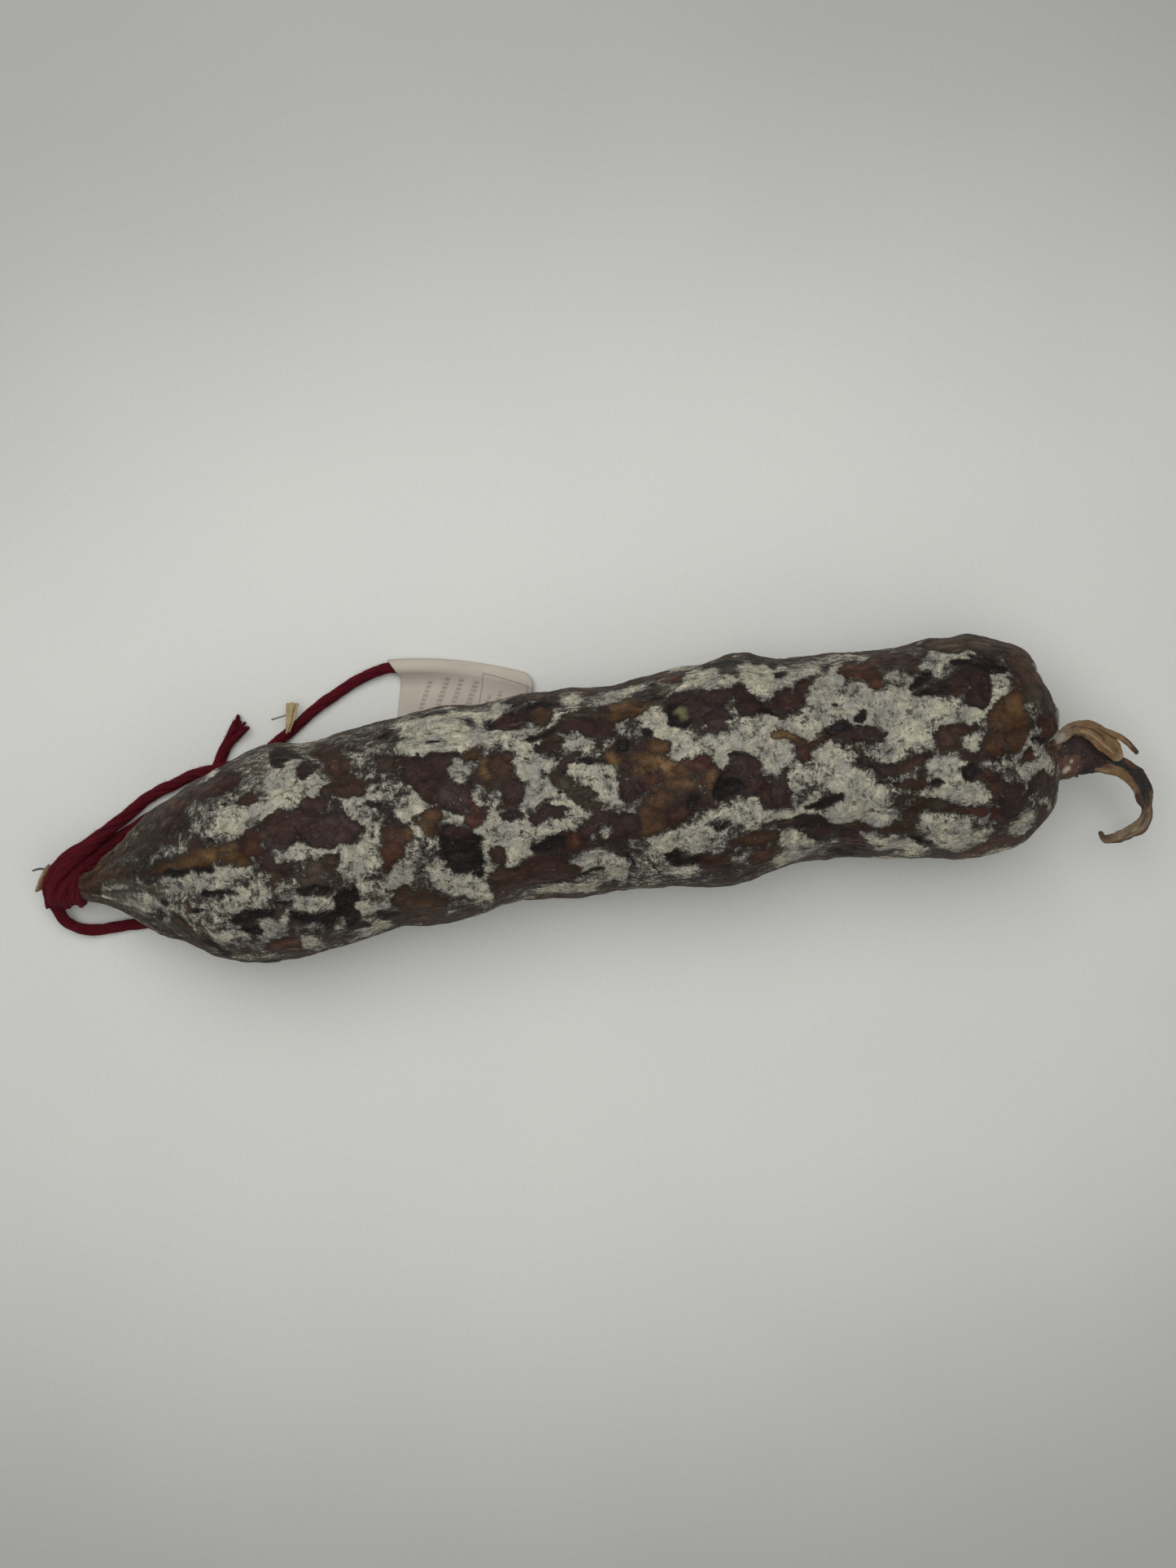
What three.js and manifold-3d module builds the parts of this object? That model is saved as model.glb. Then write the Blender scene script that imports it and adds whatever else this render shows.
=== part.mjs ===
// A dry-cured wild boar sausage, lying on its side: a lumpy meat body in natural casing, tied at its
// pointed end with crimson cotton string, with the free casing curled like a tail at its blunt end.
// Millimetres, +Z up. +X runs from the tied end to the tail, and the sausage lies on the plane z = 0.
import * as THREE from "three";
import { mergeVertices } from "three/addons/utils/BufferGeometryUtils.js";
import Module from "manifold-3d";

const wasm = await Module();
wasm.setup();

// Driving dimensions.
const bodyEndX = 95.4; // blunt end of the meat body
const capStartX = 75; // where the blunt end begins to round off
const capPower = 2.9; // how square that rounding is, 2 being an ellipse
const bodySides = 54;
const bodyRings = 75;
const capRingShare = 0.2; // share of the rings that the rounded end takes
const stringDiameter = 2.4;
const stringSides = 8;
const stringStep = 4.8; // between the rings of a string
const gap = 0.3; // clearance between pieces that touch
const paperThickness = 0.3;
const mergeDistance = 1e-4; // vertices closer than this are one

// The body's outline from above and from the side, as places [x, offset] that smooth curves run through.
const farEdge = [
  [-108, -2.2], [-104.9, -1.6], [-99.1, 2.2], [-93.4, 5.9], [-87.9, 9.2], [-82.4, 12.3], [-71.9, 16.7],
  [-61.7, 19.8], [-51.7, 19.2], [-38, 20.8], [-26.7, 22.4], [-16.7, 21.3], [-9, 22.3], [8, 21.9], [23, 22.9],
  [33.4, 24.1], [43.4, 22.5], [63, 21.3], [79, 21.6], [98, 20.5],
];
const nearEdge = [
  [-108, -5.9], [-104.9, -7.2], [-99.1, -10.2], [-93.4, -13], [-87.9, -16.3], [-83.3, -18.9], [-77.1, -22.3],
  [-70, -24.1], [-61.7, -24.3], [-51.7, -23], [-39, -21], [-28, -21.6], [-16.7, -18.9], [-8, -19.8],
  [8, -20.1], [28.4, -21.5], [40, -19.7], [52, -19.6], [65, -22.1], [78.4, -23.1], [98, -21.5],
];
const crest = [
  [-108, 11.4], [-105, 13.2], [-99, 18.2], [-93.4, 23.6], [-88, 28], [-77, 35.5], [-62, 39.8], [-42, 39],
  [-25, 40.4], [-10, 39.2], [10, 40], [30, 41], [48, 39.4], [70, 40.2], [98, 39.5],
];
const belly = [
  [-108, 7.4], [-105, 7.8], [-99, 6.6], [-93.4, 5], [-88, 3.6], [-80, 1.2], [-72, -0.6], [-60, -0.9],
  [98, -0.9],
];

// Swellings (rise above 0) and hollows (below 0) of the casing: centre, reach along x, y, z, and rise.
const swellings = [
  { at: [-96, -3, 22], reach: [14, 1.8, 9], rise: 0.9 }, // keel that runs back from the tied point
  { at: [-84, -7, 29], reach: [9, 1.8, 9], rise: -1.1 }, // fold below the keel
  { at: [-58, 2, 39], reach: [11, 8, 9], rise: 0.9 },
  { at: [-50.5, -15, 34], reach: [2.6, 5, 8], rise: -1.9 },
  { at: [-62, -17, 32], reach: [8, 2.2, 7], rise: -0.9 },
  { at: [-49, 14, 35], reach: [2.4, 5, 9], rise: -0.8 },
  { at: [-44, -3, 38], reach: [2.2, 8, 9], rise: -0.8 },
  { at: [-37, -15, 34], reach: [6, 4, 8], rise: 0.8 },
  { at: [-24, -7, 39], reach: [5, 5, 9], rise: -1.2 },
  { at: [-24, 5, 40], reach: [7, 6, 9], rise: 0.8 },
  { at: [-20, 17, 33], reach: [14, 1.8, 6], rise: -0.9 },
  { at: [-6, 9, 38], reach: [9, 2, 8], rise: -0.9 },
  { at: [4, -12, 35], reach: [9, 1.8, 8], rise: -1 },
  { at: [8, 4, 40], reach: [2.2, 7, 9], rise: -1 },
  { at: [17, 1, 41], reach: [6, 7, 9], rise: 1 },
  { at: [28.5, -1.5, 41], reach: [3, 6, 9], rise: -1.4 },
  { at: [27, 14, 37], reach: [6, 5, 8], rise: 0.9 },
  { at: [37, 4, 40], reach: [3, 9, 9], rise: -0.7 },
  { at: [36, -12, 35], reach: [8, 2, 8], rise: -0.8 },
  { at: [54, 0, 39], reach: [1.6, 8, 8], rise: -1.1 },
  { at: [60, -12, 35], reach: [10, 1.8, 7], rise: -0.9 },
  { at: [66, 7, 40], reach: [8, 7, 9], rise: 0.7 },
  { at: [75, -1, 39], reach: [3, 4, 9], rise: -0.8 },
  { at: [81, 10, 36], reach: [3, 5, 9], rise: -0.9 },
  { at: [84, -4.6, 38], reach: [8, 1.7, 8], rise: -1.3 }, // cleft between the two lobes of the blunt end
  { at: [93, -3.2, 31], reach: [3, 2, 6], rise: -2.4 },
  { at: [97, -4.5, 25], reach: [4, 2.6, 8], rise: -2 },
  { at: [90, -19, 28], reach: [6, 1.8, 7], rise: -0.8 },
  { at: [91, 15, 20], reach: [6, 5, 12], rise: 1 }, // the two lobes swell at their outer corners
  { at: [89, -18, 19], reach: [6, 5, 12], rise: 1.2 },
];

// Ripples of the skin over the coarsely cut meat. Each is a wave along the body (radians per mm) and round
// it, and two slow waves shift its phase so that no ripple repeats.
const slowWaves = {
  drift: { height: 1.5, along: 0.07, round: 1, phase: 0 },
  stray: { height: 1.3, along: 0.11, round: -2, phase: 0.8 },
};
const ripples = [
  { height: 0.275, along: 0.07, round: 5, phase: 1.5, drift: 1, stray: 0 },
  { height: 0.275, along: 0.27, round: -1, phase: 0.7, drift: 1, stray: 0 },
  { height: 0.34, along: 0.27, round: -4, phase: 0.6, drift: 0, stray: 1 },
  { height: 0.24, along: 0.45, round: 5, phase: 2.2, drift: 1, stray: -1 },
];
const calm = {
  tipStart: 4, // from the tied point, where the ripples begin
  tipEnd: 30, // and where they are full
  sideShare: 0.35, // of their height on the left and right edges
  endRate: 1.5, // how quickly they fade towards the middle of the blunt end
};

// Tail: the emptied casing past the blunt end, as paths with a width and a thickness along them.
const neck = {
  points: [[91, -4.8, 20], [95.5, -5, 20.4], [99.3, -5.6, 20.8], [102.8, -6.7, 20.6], [106, -8, 20]],
  width: [10.5, 9.4, 9, 6.6, 4.4],
  thickness: [9, 6.4, 4.6, 3.2, 2.2],
  roll: [0, 0.05, 0.1, 0.1, 0.1],
  sides: 14,
  steps: 8,
};
const hook = {
  points: [
    [101.5, -6, 20.4], [106, -7.8, 20], [110.2, -9.8, 19.4], [113.1, -13.1, 18.6], [114, -17.2, 17.8],
    [113.2, -20.8, 17], [110.4, -23, 16.4], [107.2, -23.8, 16], [105, -23.5, 16], [104, -22.1, 16.6],
  ],
  width: [5.6, 4.8, 4.4, 4.6, 4.2, 3, 2.6, 2.3, 1.9, 1.3],
  thickness: [2.6, 2.2, 1.9, 1.7, 1.6, 1.5, 1.4, 1.4, 1.3, 1.2],
  roll: [0.1, 0.2, 0.4, 0.7, 0.7, 0.5, 0.3, 0.2, 0.2, 0.2],
  sides: 8,
  steps: 26,
};
const flap = {
  points: [
    [94, -2.8, 21.6], [96.8, -1.4, 22.8], [99.8, -0.8, 23.6], [103.2, -2.2, 23.6], [106.8, -4.9, 22.8],
    [110, -7.4, 21.4],
  ],
  width: [3, 3, 3.8, 4.6, 4.2, 2.8],
  thickness: [2.2, 1.8, 1.5, 1.3, 1.2, 1.1],
  roll: [0.2, 0.25, 0.3, 0.3, 0.3, 0.2],
  sides: 8,
  steps: 15,
};
const shred = {
  points: [[105, -2.7, 23.2], [107.6, -3.9, 23], [109.8, -5.3, 22.6], [111.9, -7.3, 21.8]],
  width: [1.8, 1.5, 1.5, 1],
  thickness: [1.1, 1.1, 1, 0.9],
  roll: [0.2, 0.2, 0.2, 0.2],
  sides: 6,
  steps: 8,
};

// Tied point: a thin neck of casing runs through the knot and opens in a short ragged end.
const tiedNeck = {
  points: [
    [-103.5, -4.2, 10.8], [-107.6, -3.9, 9.4], [-111.4, -3, 8.9], [-114.2, -2.3, 8.6], [-116.4, -1.7, 8.5],
  ],
  width: [5, 3.9, 3.6, 3.8, 5],
  thickness: [4, 3.6, 3.4, 3, 2.2],
  roll: [0, 0, 0, 0, 0],
  sides: 12,
  steps: 10,
};
const knot = {
  start: [-108.7, -3.7, 9.2],
  end: [-115, -2.1, 8.6],
  turns: 3,
  radius: 4.5,
  ridge: 0.9, // how far a turn of string stands out of the groove beside it
  bore: 1,
  sides: 18,
  stepsPerTurn: 5,
  lobeSides: 9,
  lobeRings: 6,
};
const knotLobes = [
  { at: [-110.7, 0.2, 10.8], size: [3.1, 2.3, 2.2] }, // where the two long strings leave
  { at: [-114.2, -5.2, 7.3], size: [2.2, 2, 2] }, // cut end below
  { at: [-109.4, -5.4, 7.4], size: [2.4, 1.5, 1.6] },
];

// Routes of the strings. All of them lie on the table once they have come down from the knot.
const labelStringRoute = [
  [-107.8, 2, 10.6], [-105.9, 3.5, 8.8], [-103.8, 5.2, 6.8], [-101.3, 7, 4.8], [-98.7, 9, 3],
  [-96, 11, 1.9], [-93, 12.7, 1.4], [-89.3, 14.3, 1.3], [-85.1, 15.5, 2], [-81.8, 16.3, 3.4],
  [-78.6, 16.7, 4.3], [-75.4, 16.8, 4.2], [-72.2, 17.1, 2.9], [-69, 17.9, 1.6], [-65.6, 19.6, 1.3],
  [-61.5, 22.2, 1.3], [-57.4, 24.9, 1.3], [-53.2, 27.5, 1.3], [-49, 29.7, 1.3], [-45, 31.4, 1.4],
  [-41.8, 32.5, 1.7], [-38.9, 33.2, 1.9], [-36, 33.1, 1.9], [-32.8, 32.8, 1.9],
];
const frayedStringRoute = [
  [-106.5, -0.3, 8.7], [-105.1, 1.2, 6.7], [-103.1, 2.9, 4.6], [-100.7, 4.5, 2.8], [-98, 6.1, 1.7],
  [-94.6, 7.8, 1.3], [-91, 9.6, 1.3], [-87.2, 11.3, 1.3], [-83.6, 12.6, 1.3], [-80.2, 14, 1.3],
  [-77.7, 16.5, 1.3], [-76.1, 19.5, 1.3], [-74.1, 22.3, 1.4], [-71.8, 24.9, 1.6],
];
const hangingLoopRoute = [
  [-114.4, -7.7, 5.2], [-114, -9.8, 4.2], [-113, -11.6, 3.2], [-111.4, -12.9, 2.4], [-109.4, -13.6, 1.8],
  [-107.2, -13.8, 1.4], [-104.6, -13.8, 1.3], [-101.9, -13.8, 1.3], [-99.2, -13.8, 1.3], [-96.4, -13.8, 1.3],
  [-93.2, -12.9, 1.3], [-90.9, -10.6, 1.3], [-90, -7.4, 1.3], [-90.9, -4.2, 1.3], [-93.2, -1.9, 1.3],
  [-96.4, -1, 1.3], [-99.5, -1.2, 1.3], [-102.3, -1.8, 1.5], [-105.1, -2.7, 2], [-107.9, -3.6, 2.9],
];

// Paper label: folded over the string's end along its upper edge, the rest flat on the table.
const label = {
  corner: [-39, 33.3], // the open mouth of the fold
  turn: -0.195, // of the folded edge, from +X
  length: 32,
  depth: 16,
  foldRadius: 1.65, // to the middle of the paper
  foldSweep: 1.32 * Math.PI,
  foldSteps: 9,
  restHeight: 0.25,
  layerGap: 0.12, // between the two layers
  settleLength: 3.8, // over which the upper layer comes down
  settleSteps: 4,
  bow: 1.3, // how far the folded edge bows outwards
  cornerRadius: 2.6,
  trim: 0.3, // cut off all round, so that the outline is clean
  mouthSlant: 2.4, // how far the edge of the open mouth leans back
};

// Straws caught on the string: foot, tip and width of each.
const straws = [
  { from: [-60.9, 22.8, 3.1], to: [-59.5, 28.4, 4.6], width: 1 },
  { from: [-60.6, 22.9, 3.1], to: [-58.1, 28.3, 4.9], width: 1.1 },
  { from: [-60.3, 23.1, 3.1], to: [-56.8, 27.9, 4.4], width: 1 },
  { from: [-58.8, 26.2, 3.9], to: [-62.8, 25.7, 3.6], width: 0.6 },
];
const strawFootWidth = 0.5;
const strawThickness = [0.45, 0.4, 0.35];

// A smooth curve through places [x, value]: cubic pieces whose slopes come from each place's neighbours.
function curveThrough(places) {
  const slope = places.map((_, i) => {
    const a = places[Math.max(i - 1, 0)];
    const b = places[Math.min(i + 1, places.length - 1)];
    return (b[1] - a[1]) / (b[0] - a[0]);
  });
  return (x) => {
    let i = 0;
    while (i < places.length - 2 && x > places[i + 1][0]) i += 1;
    const [x0, y0] = places[i];
    const [x1, y1] = places[i + 1];
    const span = x1 - x0;
    const t = THREE.MathUtils.clamp((x - x0) / span, 0, 1);
    const fromStart = (1 + 2 * t) * (1 - t) ** 2 * y0 + t * (1 - t) ** 2 * span * slope[i];
    const fromEnd = t * t * (3 - 2 * t) * y1 - t * t * (1 - t) * span * slope[i + 1];
    return fromStart + fromEnd;
  };
}

function waveAt({ height, along, round, phase }, x, angle, shift = 0) {
  return height * Math.sin(along * x + round * angle + phase + shift);
}

function rippleAt(x, angle) {
  const drift = waveAt(slowWaves.drift, x, angle);
  const stray = waveAt(slowWaves.stray, x, angle);
  return ripples.reduce(
    (sum, ripple) => sum + waveAt(ripple, x, angle, ripple.drift * drift + ripple.stray * stray),
    0,
  );
}

function swellingAt(x, y, z) {
  return swellings.reduce((sum, { at, reach, rise }) => {
    const away = [x, y, z].map((value, axis) => (value - at[axis]) / reach[axis]);
    return sum + rise * Math.exp(-(away[0] ** 2 + away[1] ** 2 + away[2] ** 2));
  }, 0);
}

const farEdgeAt = curveThrough(farEdge);
const nearEdgeAt = curveThrough(nearEdge);
const crestAt = curveThrough(crest);
const bellyAt = curveThrough(belly);

// A point of the skin: along is 0 at the tied point and 1 at the blunt end, angle 0 faces +Y and grows
// upwards.
function bodyPoint(along, angle) {
  const tipX = farEdge[0][0];
  const capLength = bodyEndX - capStartX;
  const swing = Math.max(0, (along - (1 - capRingShare)) / capRingShare) * (Math.PI / 2);
  const straight = Math.min(along / (1 - capRingShare), 1);
  const intoCap = Math.sin(swing) ** (2 / capPower);
  const closedTip = Math.min(along * bodyRings, 1);
  const shrink = closedTip * Math.max(Math.cos(swing), 0) ** (2 / capPower);
  const x = tipX + (capStartX - tipX) * straight + capLength * intoCap;

  const centreY = (farEdgeAt(x) + nearEdgeAt(x)) / 2;
  const centreZ = (crestAt(x) + bellyAt(x)) / 2;
  const halfWidth = (farEdgeAt(x) - nearEdgeAt(x)) / 2;
  const halfHeight = (crestAt(x) - bellyAt(x)) / 2;
  const outY = Math.cos(angle) * shrink;
  const outZ = Math.sin(angle) * shrink;
  const skin = new THREE.Vector3(x, centreY + halfWidth * outY, centreZ + halfHeight * outZ);

  const outward = new THREE.Vector3((intoCap * halfWidth) / capLength, outY, outZ).normalize();
  const fromTip = THREE.MathUtils.smoothstep(x, tipX + calm.tipStart, tipX + calm.tipEnd);
  const fromSide = THREE.MathUtils.lerp(calm.sideShare, 1, Math.sin(angle) ** 2);
  const fromEnd = Math.min(calm.endRate * shrink, 1);
  const relief = rippleAt(x, angle) * fromTip * fromSide * fromEnd + swellingAt(skin.x, skin.y, skin.z);
  skin.addScaledVector(outward, relief);
  skin.z = Math.max(skin.z, 0);
  return skin;
}

// Values spaced evenly along a path, read as a smooth curve.
function valueAlong(values, t) {
  const line = values.map((value, i) => new THREE.Vector2(i, value));
  return new THREE.SplineCurve(line).getPoint(t).y;
}

// A strip of casing: an oval section carried along a path, with its width, thickness and roll changing on
// the way.
function strip({ points, width, thickness, roll, sides, steps }, margin = 0) {
  const path = new THREE.CatmullRomCurve3(points.map((p) => new THREE.Vector3(...p)));
  const up = new THREE.Vector3(0, 0, 1);
  const geometry = new THREE.CylinderGeometry(1, 1, 1, sides, steps);
  const position = geometry.attributes.position;
  for (let i = 0; i < position.count; i += 1) {
    const t = THREE.MathUtils.clamp(position.getY(i) + 0.5, 0, 1);
    const forward = path.getTangent(t);
    const across = new THREE.Vector3().crossVectors(forward, up).normalize();
    const over = new THREE.Vector3().crossVectors(across, forward);
    const turn = valueAlong(roll, t);
    across.applyAxisAngle(forward, turn);
    over.applyAxisAngle(forward, turn);
    const p = path.getPoint(t);
    p.addScaledVector(across, position.getX(i) * (valueAlong(width, t) / 2 + margin));
    p.addScaledVector(over, position.getZ(i) * (valueAlong(thickness, t) / 2 + margin));
    position.setXYZ(i, p.x, p.y, p.z);
  }
  return geometry;
}

function solidOf(geometry) {
  geometry.deleteAttribute("normal");
  geometry.deleteAttribute("uv");
  const merged = mergeVertices(geometry, mergeDistance);
  return new wasm.Manifold(
    new wasm.Mesh({
      numProp: 3,
      vertProperties: new Float32Array(merged.attributes.position.array),
      triVerts: new Uint32Array(merged.index.array),
    }),
  );
}

function geometryOf(solid) {
  const mesh = solid.getMesh();
  const geometry = new THREE.BufferGeometry();
  geometry.setAttribute("position", new THREE.BufferAttribute(mesh.vertProperties, 3));
  geometry.setIndex(new THREE.BufferAttribute(mesh.triVerts, 1));
  geometry.computeVertexNormals();
  return geometry;
}

function bodySolid() {
  const geometry = new THREE.SphereGeometry(1, bodySides, bodyRings);
  const { position, uv } = geometry.attributes;
  for (let i = 0; i < position.count; i += 1) {
    const p = bodyPoint(1 - uv.getY(i), 2 * Math.PI * (1 - uv.getX(i)));
    position.setXYZ(i, p.x, p.y, p.z);
  }
  return solidOf(geometry);
}

function sausageGeometry() {
  const tail = [neck, hook, flap, shred, tiedNeck].map((piece) => solidOf(strip(piece)));
  const whole = tail.reduce((sum, piece) => sum.add(piece), bodySolid());
  return geometryOf(whole);
}

// The knot: turns of string side by side round the tied neck, with lobes where the strings cross and leave.
function knotGeometry() {
  const { turns, radius, ridge, bore, sides, stepsPerTurn, lobeSides, lobeRings } = knot;
  const start = new THREE.Vector3(...knot.start);
  const end = new THREE.Vector3(...knot.end);
  const length = start.distanceTo(end);
  const profile = [new THREE.Vector2(bore, 0)];
  const steps = turns * stepsPerTurn;
  for (let i = 0; i <= steps; i += 1) {
    const swell = Math.abs(Math.sin((Math.PI * i) / stepsPerTurn));
    profile.push(new THREE.Vector2(radius - ridge * (1 - swell), (i / steps) * length));
  }
  profile.push(new THREE.Vector2(bore, length), new THREE.Vector2(bore, 0));
  const winding = new THREE.LatheGeometry(profile, sides);
  const aim = new THREE.Quaternion().setFromUnitVectors(
    new THREE.Vector3(0, 1, 0),
    end.clone().sub(start).normalize(),
  );
  winding.applyQuaternion(aim).translate(start.x, start.y, start.z);
  const lobes = knotLobes.map(({ at, size }) => {
    const lobe = new THREE.SphereGeometry(1, lobeSides, lobeRings);
    return solidOf(lobe.scale(...size).translate(...at));
  });
  const bundle = lobes.reduce((sum, lobe) => sum.add(lobe), solidOf(winding));
  return geometryOf(bundle.subtract(solidOf(strip(tiedNeck, gap))));
}

// A plain round string along its route.
function stringGeometry(route) {
  const path = new THREE.CatmullRomCurve3(route.map((p) => new THREE.Vector3(...p)));
  const section = new THREE.Shape();
  section.absarc(0, 0, stringDiameter / 2, 0, 2 * Math.PI);
  return new THREE.ExtrudeGeometry(section, {
    steps: Math.round(path.getLength() / stringStep),
    curveSegments: stringSides,
    bevelEnabled: false,
    extrudePath: path,
  });
}

// The label's section runs flat to the fold, round the string and back down onto itself.
function labelSection() {
  const { depth, foldRadius, foldSweep, foldSteps, restHeight, layerGap, settleLength, settleSteps } = label;
  const upperHeight = restHeight + paperThickness + layerGap;
  const centreHeight = restHeight + foldRadius;
  const middle = [new THREE.Vector2(depth, restHeight)];
  for (let i = 0; i <= foldSteps; i += 1) {
    const angle = -Math.PI / 2 - (i / foldSteps) * foldSweep;
    middle.push(new THREE.Vector2(foldRadius * Math.cos(angle), centreHeight + foldRadius * Math.sin(angle)));
  }
  const lift = middle[middle.length - 1].y - upperHeight;
  for (let i = 1; i <= settleSteps; i += 1) {
    const t = i / settleSteps;
    middle.push(new THREE.Vector2(foldRadius + settleLength * t, upperHeight + lift * (1 - t) ** 2));
  }
  middle.push(new THREE.Vector2(depth, upperHeight));
  const side = (sign) =>
    middle.map((p, i) => {
      const a = middle[Math.max(i - 1, 0)];
      const b = middle[Math.min(i + 1, middle.length - 1)];
      const along = b.clone().sub(a).normalize();
      const half = (sign * paperThickness) / 2;
      return new THREE.Vector2(p.x - along.y * half, p.y + along.x * half);
    });
  return new THREE.Shape([...side(1), ...side(-1).reverse()]);
}

function labelGeometry() {
  const { corner, turn, length, depth, foldRadius, bow, cornerRadius, trim, mouthSlant } = label;
  const fold = new THREE.ExtrudeGeometry(labelSection(), { depth: length, steps: 5, bevelEnabled: false });
  const farEnd = length - trim;
  const lowEdge = depth - trim;
  const foldedEdge = trim - foldRadius;
  const beyondFold = -foldRadius - 1;
  const outline = new THREE.Shape();
  outline.moveTo(mouthSlant / 3, beyondFold);
  outline.lineTo(farEnd - cornerRadius, beyondFold);
  outline.lineTo(farEnd - cornerRadius, foldedEdge);
  outline.quadraticCurveTo(farEnd, foldedEdge, farEnd, foldedEdge + cornerRadius);
  outline.lineTo(farEnd, lowEdge - trim);
  outline.quadraticCurveTo(farEnd, lowEdge, farEnd - trim, lowEdge);
  outline.lineTo(mouthSlant + trim, lowEdge);
  outline.lineTo(mouthSlant, foldRadius + 1);
  const cutterTop = 8;
  const cutter = new THREE.ExtrudeGeometry(outline, { depth: 12, bevelEnabled: false, curveSegments: 4 });
  // Local axes of the section: x away from the folded edge, y up, z back along the edge from its far end.
  const place = new THREE.Matrix4().makeBasis(
    new THREE.Vector3(Math.sin(turn), -Math.cos(turn), 0),
    new THREE.Vector3(0, 0, 1),
    new THREE.Vector3(-Math.cos(turn), -Math.sin(turn), 0),
  );
  place.setPosition(corner[0] + length * Math.cos(turn), corner[1] + length * Math.sin(turn), 0);
  fold.applyMatrix4(place);
  const cutPlace = new THREE.Matrix4().makeBasis(
    new THREE.Vector3(Math.cos(turn), Math.sin(turn), 0),
    new THREE.Vector3(Math.sin(turn), -Math.cos(turn), 0),
    new THREE.Vector3(0, 0, -1),
  );
  cutPlace.setPosition(corner[0], corner[1], cutterTop);
  cutter.applyMatrix4(cutPlace);
  const cut = solidOf(fold).intersect(solidOf(cutter));
  const geometry = geometryOf(cut);
  const { position } = geometry.attributes;
  for (let i = 0; i < position.count; i += 1) {
    const along = (position.getX(i) - corner[0]) / (length * Math.cos(turn));
    position.setY(i, position.getY(i) + bow * 4 * along * (1 - along));
  }
  return geometry;
}

function strawGeometry() {
  const solids = straws.map(({ from, to, width }) => {
    const middle = from.map((value, i) => (value + to[i]) / 2);
    return solidOf(
      strip({
        points: [from, middle, to],
        width: [strawFootWidth, (strawFootWidth + 2 * width) / 3, width],
        thickness: strawThickness,
        roll: [0, 0.2, 0.3],
        sides: 4,
        steps: 2,
      }),
    );
  });
  return geometryOf(solids.reduce((sum, straw) => sum.add(straw)));
}

const casing = new THREE.MeshStandardMaterial({ color: 0x5a4338, roughness: 0.6, metalness: 0 });
const cotton = new THREE.MeshStandardMaterial({ color: 0x5c1022, roughness: 0.95, metalness: 0 });
const paper = new THREE.MeshStandardMaterial({ color: 0xb6ad9e, roughness: 0.85, metalness: 0 });
const straw = new THREE.MeshStandardMaterial({ color: 0xb09868, roughness: 0.8, metalness: 0 });

const group = new THREE.Group();
function addPiece(name, geometry, material) {
  const mesh = new THREE.Mesh(geometry, material);
  mesh.name = name;
  group.add(mesh);
}
addPiece("sausage", sausageGeometry(), casing);
addPiece("string_knot", knotGeometry(), cotton);
addPiece("label_string", stringGeometry(labelStringRoute), cotton);
addPiece("frayed_string", stringGeometry(frayedStringRoute), cotton);
addPiece("hanging_loop", stringGeometry(hangingLoopRoute), cotton);
addPiece("label", labelGeometry(), paper);
addPiece("straw_wisp", strawGeometry(), straw);

export default group;
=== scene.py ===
import math

import bpy
import numpy as np
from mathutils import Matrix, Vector


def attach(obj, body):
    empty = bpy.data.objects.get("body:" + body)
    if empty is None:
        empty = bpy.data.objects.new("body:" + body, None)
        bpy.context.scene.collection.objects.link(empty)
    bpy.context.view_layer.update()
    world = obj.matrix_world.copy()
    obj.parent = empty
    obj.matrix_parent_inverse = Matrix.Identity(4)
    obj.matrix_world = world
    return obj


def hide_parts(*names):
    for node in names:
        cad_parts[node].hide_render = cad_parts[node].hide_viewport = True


# A dry-cured wild boar sausage with its crimson string, paper label and a few straws.
# Sizes are in millimetres up to the point where a mesh is made, and in metres from there on.

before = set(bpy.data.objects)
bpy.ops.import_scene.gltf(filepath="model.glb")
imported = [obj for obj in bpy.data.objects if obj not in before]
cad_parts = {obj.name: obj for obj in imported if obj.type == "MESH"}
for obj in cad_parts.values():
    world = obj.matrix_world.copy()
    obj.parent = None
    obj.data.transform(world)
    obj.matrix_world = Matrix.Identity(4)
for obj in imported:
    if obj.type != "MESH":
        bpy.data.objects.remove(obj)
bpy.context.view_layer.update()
print("frame loaded:", ", ".join(sorted(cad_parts)))

metre = 0.001  # turns millimetres into metres
fullTurn = 2 * math.pi

# Camera, straight above the sausage and turned a little. It sees what lies between its nearest and its
# furthest distance, in metres.
cameraSettings = {
    "place": (1.35, 2.4, 320.0),
    "turn": -8.1,
    "lens": 33.9,
    "sensorWidth": 36,
    "nearest": 0.02,
    "furthest": 20,
}
# Each light has its power, its size and its place.
lightSettings = {
    "world": 0.24,
    "worldColour": (1.0, 1.0, 0.985, 1.0),
    "lights": {"keyLight": (1.12, 340, (-50, 110, 370)), "fillLight": (0.4, 360, (60, -120, 400))},
}
# The table is painted darker away from a place near its middle, a painted shade for light falling off
# towards the corners.
tableSettings = {
    "size": 4000,
    "colour": (209, 209, 204),
    "shade": (201, 202, 198),
    "mottle": (0.02, 2.0),
    "grain": (1.2, 3.0),
    "grainShades": (0.2, 0.8, 0.97, 1.03, "LINEAR"),
    "fadeCentre": (30, -12, 0),
    "fadeStretch": (0.5, 1.4, 1.0),
    "fade": (90, 255, 1.0, 0.7),
    "roughness": 0.75,
    "bump": (0.1, 0.0001),
}


# Part of full strength that a channel of a screen colour stands for.
def channelShare(value):
    share = value / 255
    return share / 12.92 if share <= 0.04045 else ((share + 0.055) / 1.055) ** 2.4


def srgb(red, green, blue):
    return (channelShare(red), channelShare(green), channelShare(blue), 1.0)


def paint(colour):
    return np.array(srgb(*colour)[:3])


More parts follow.
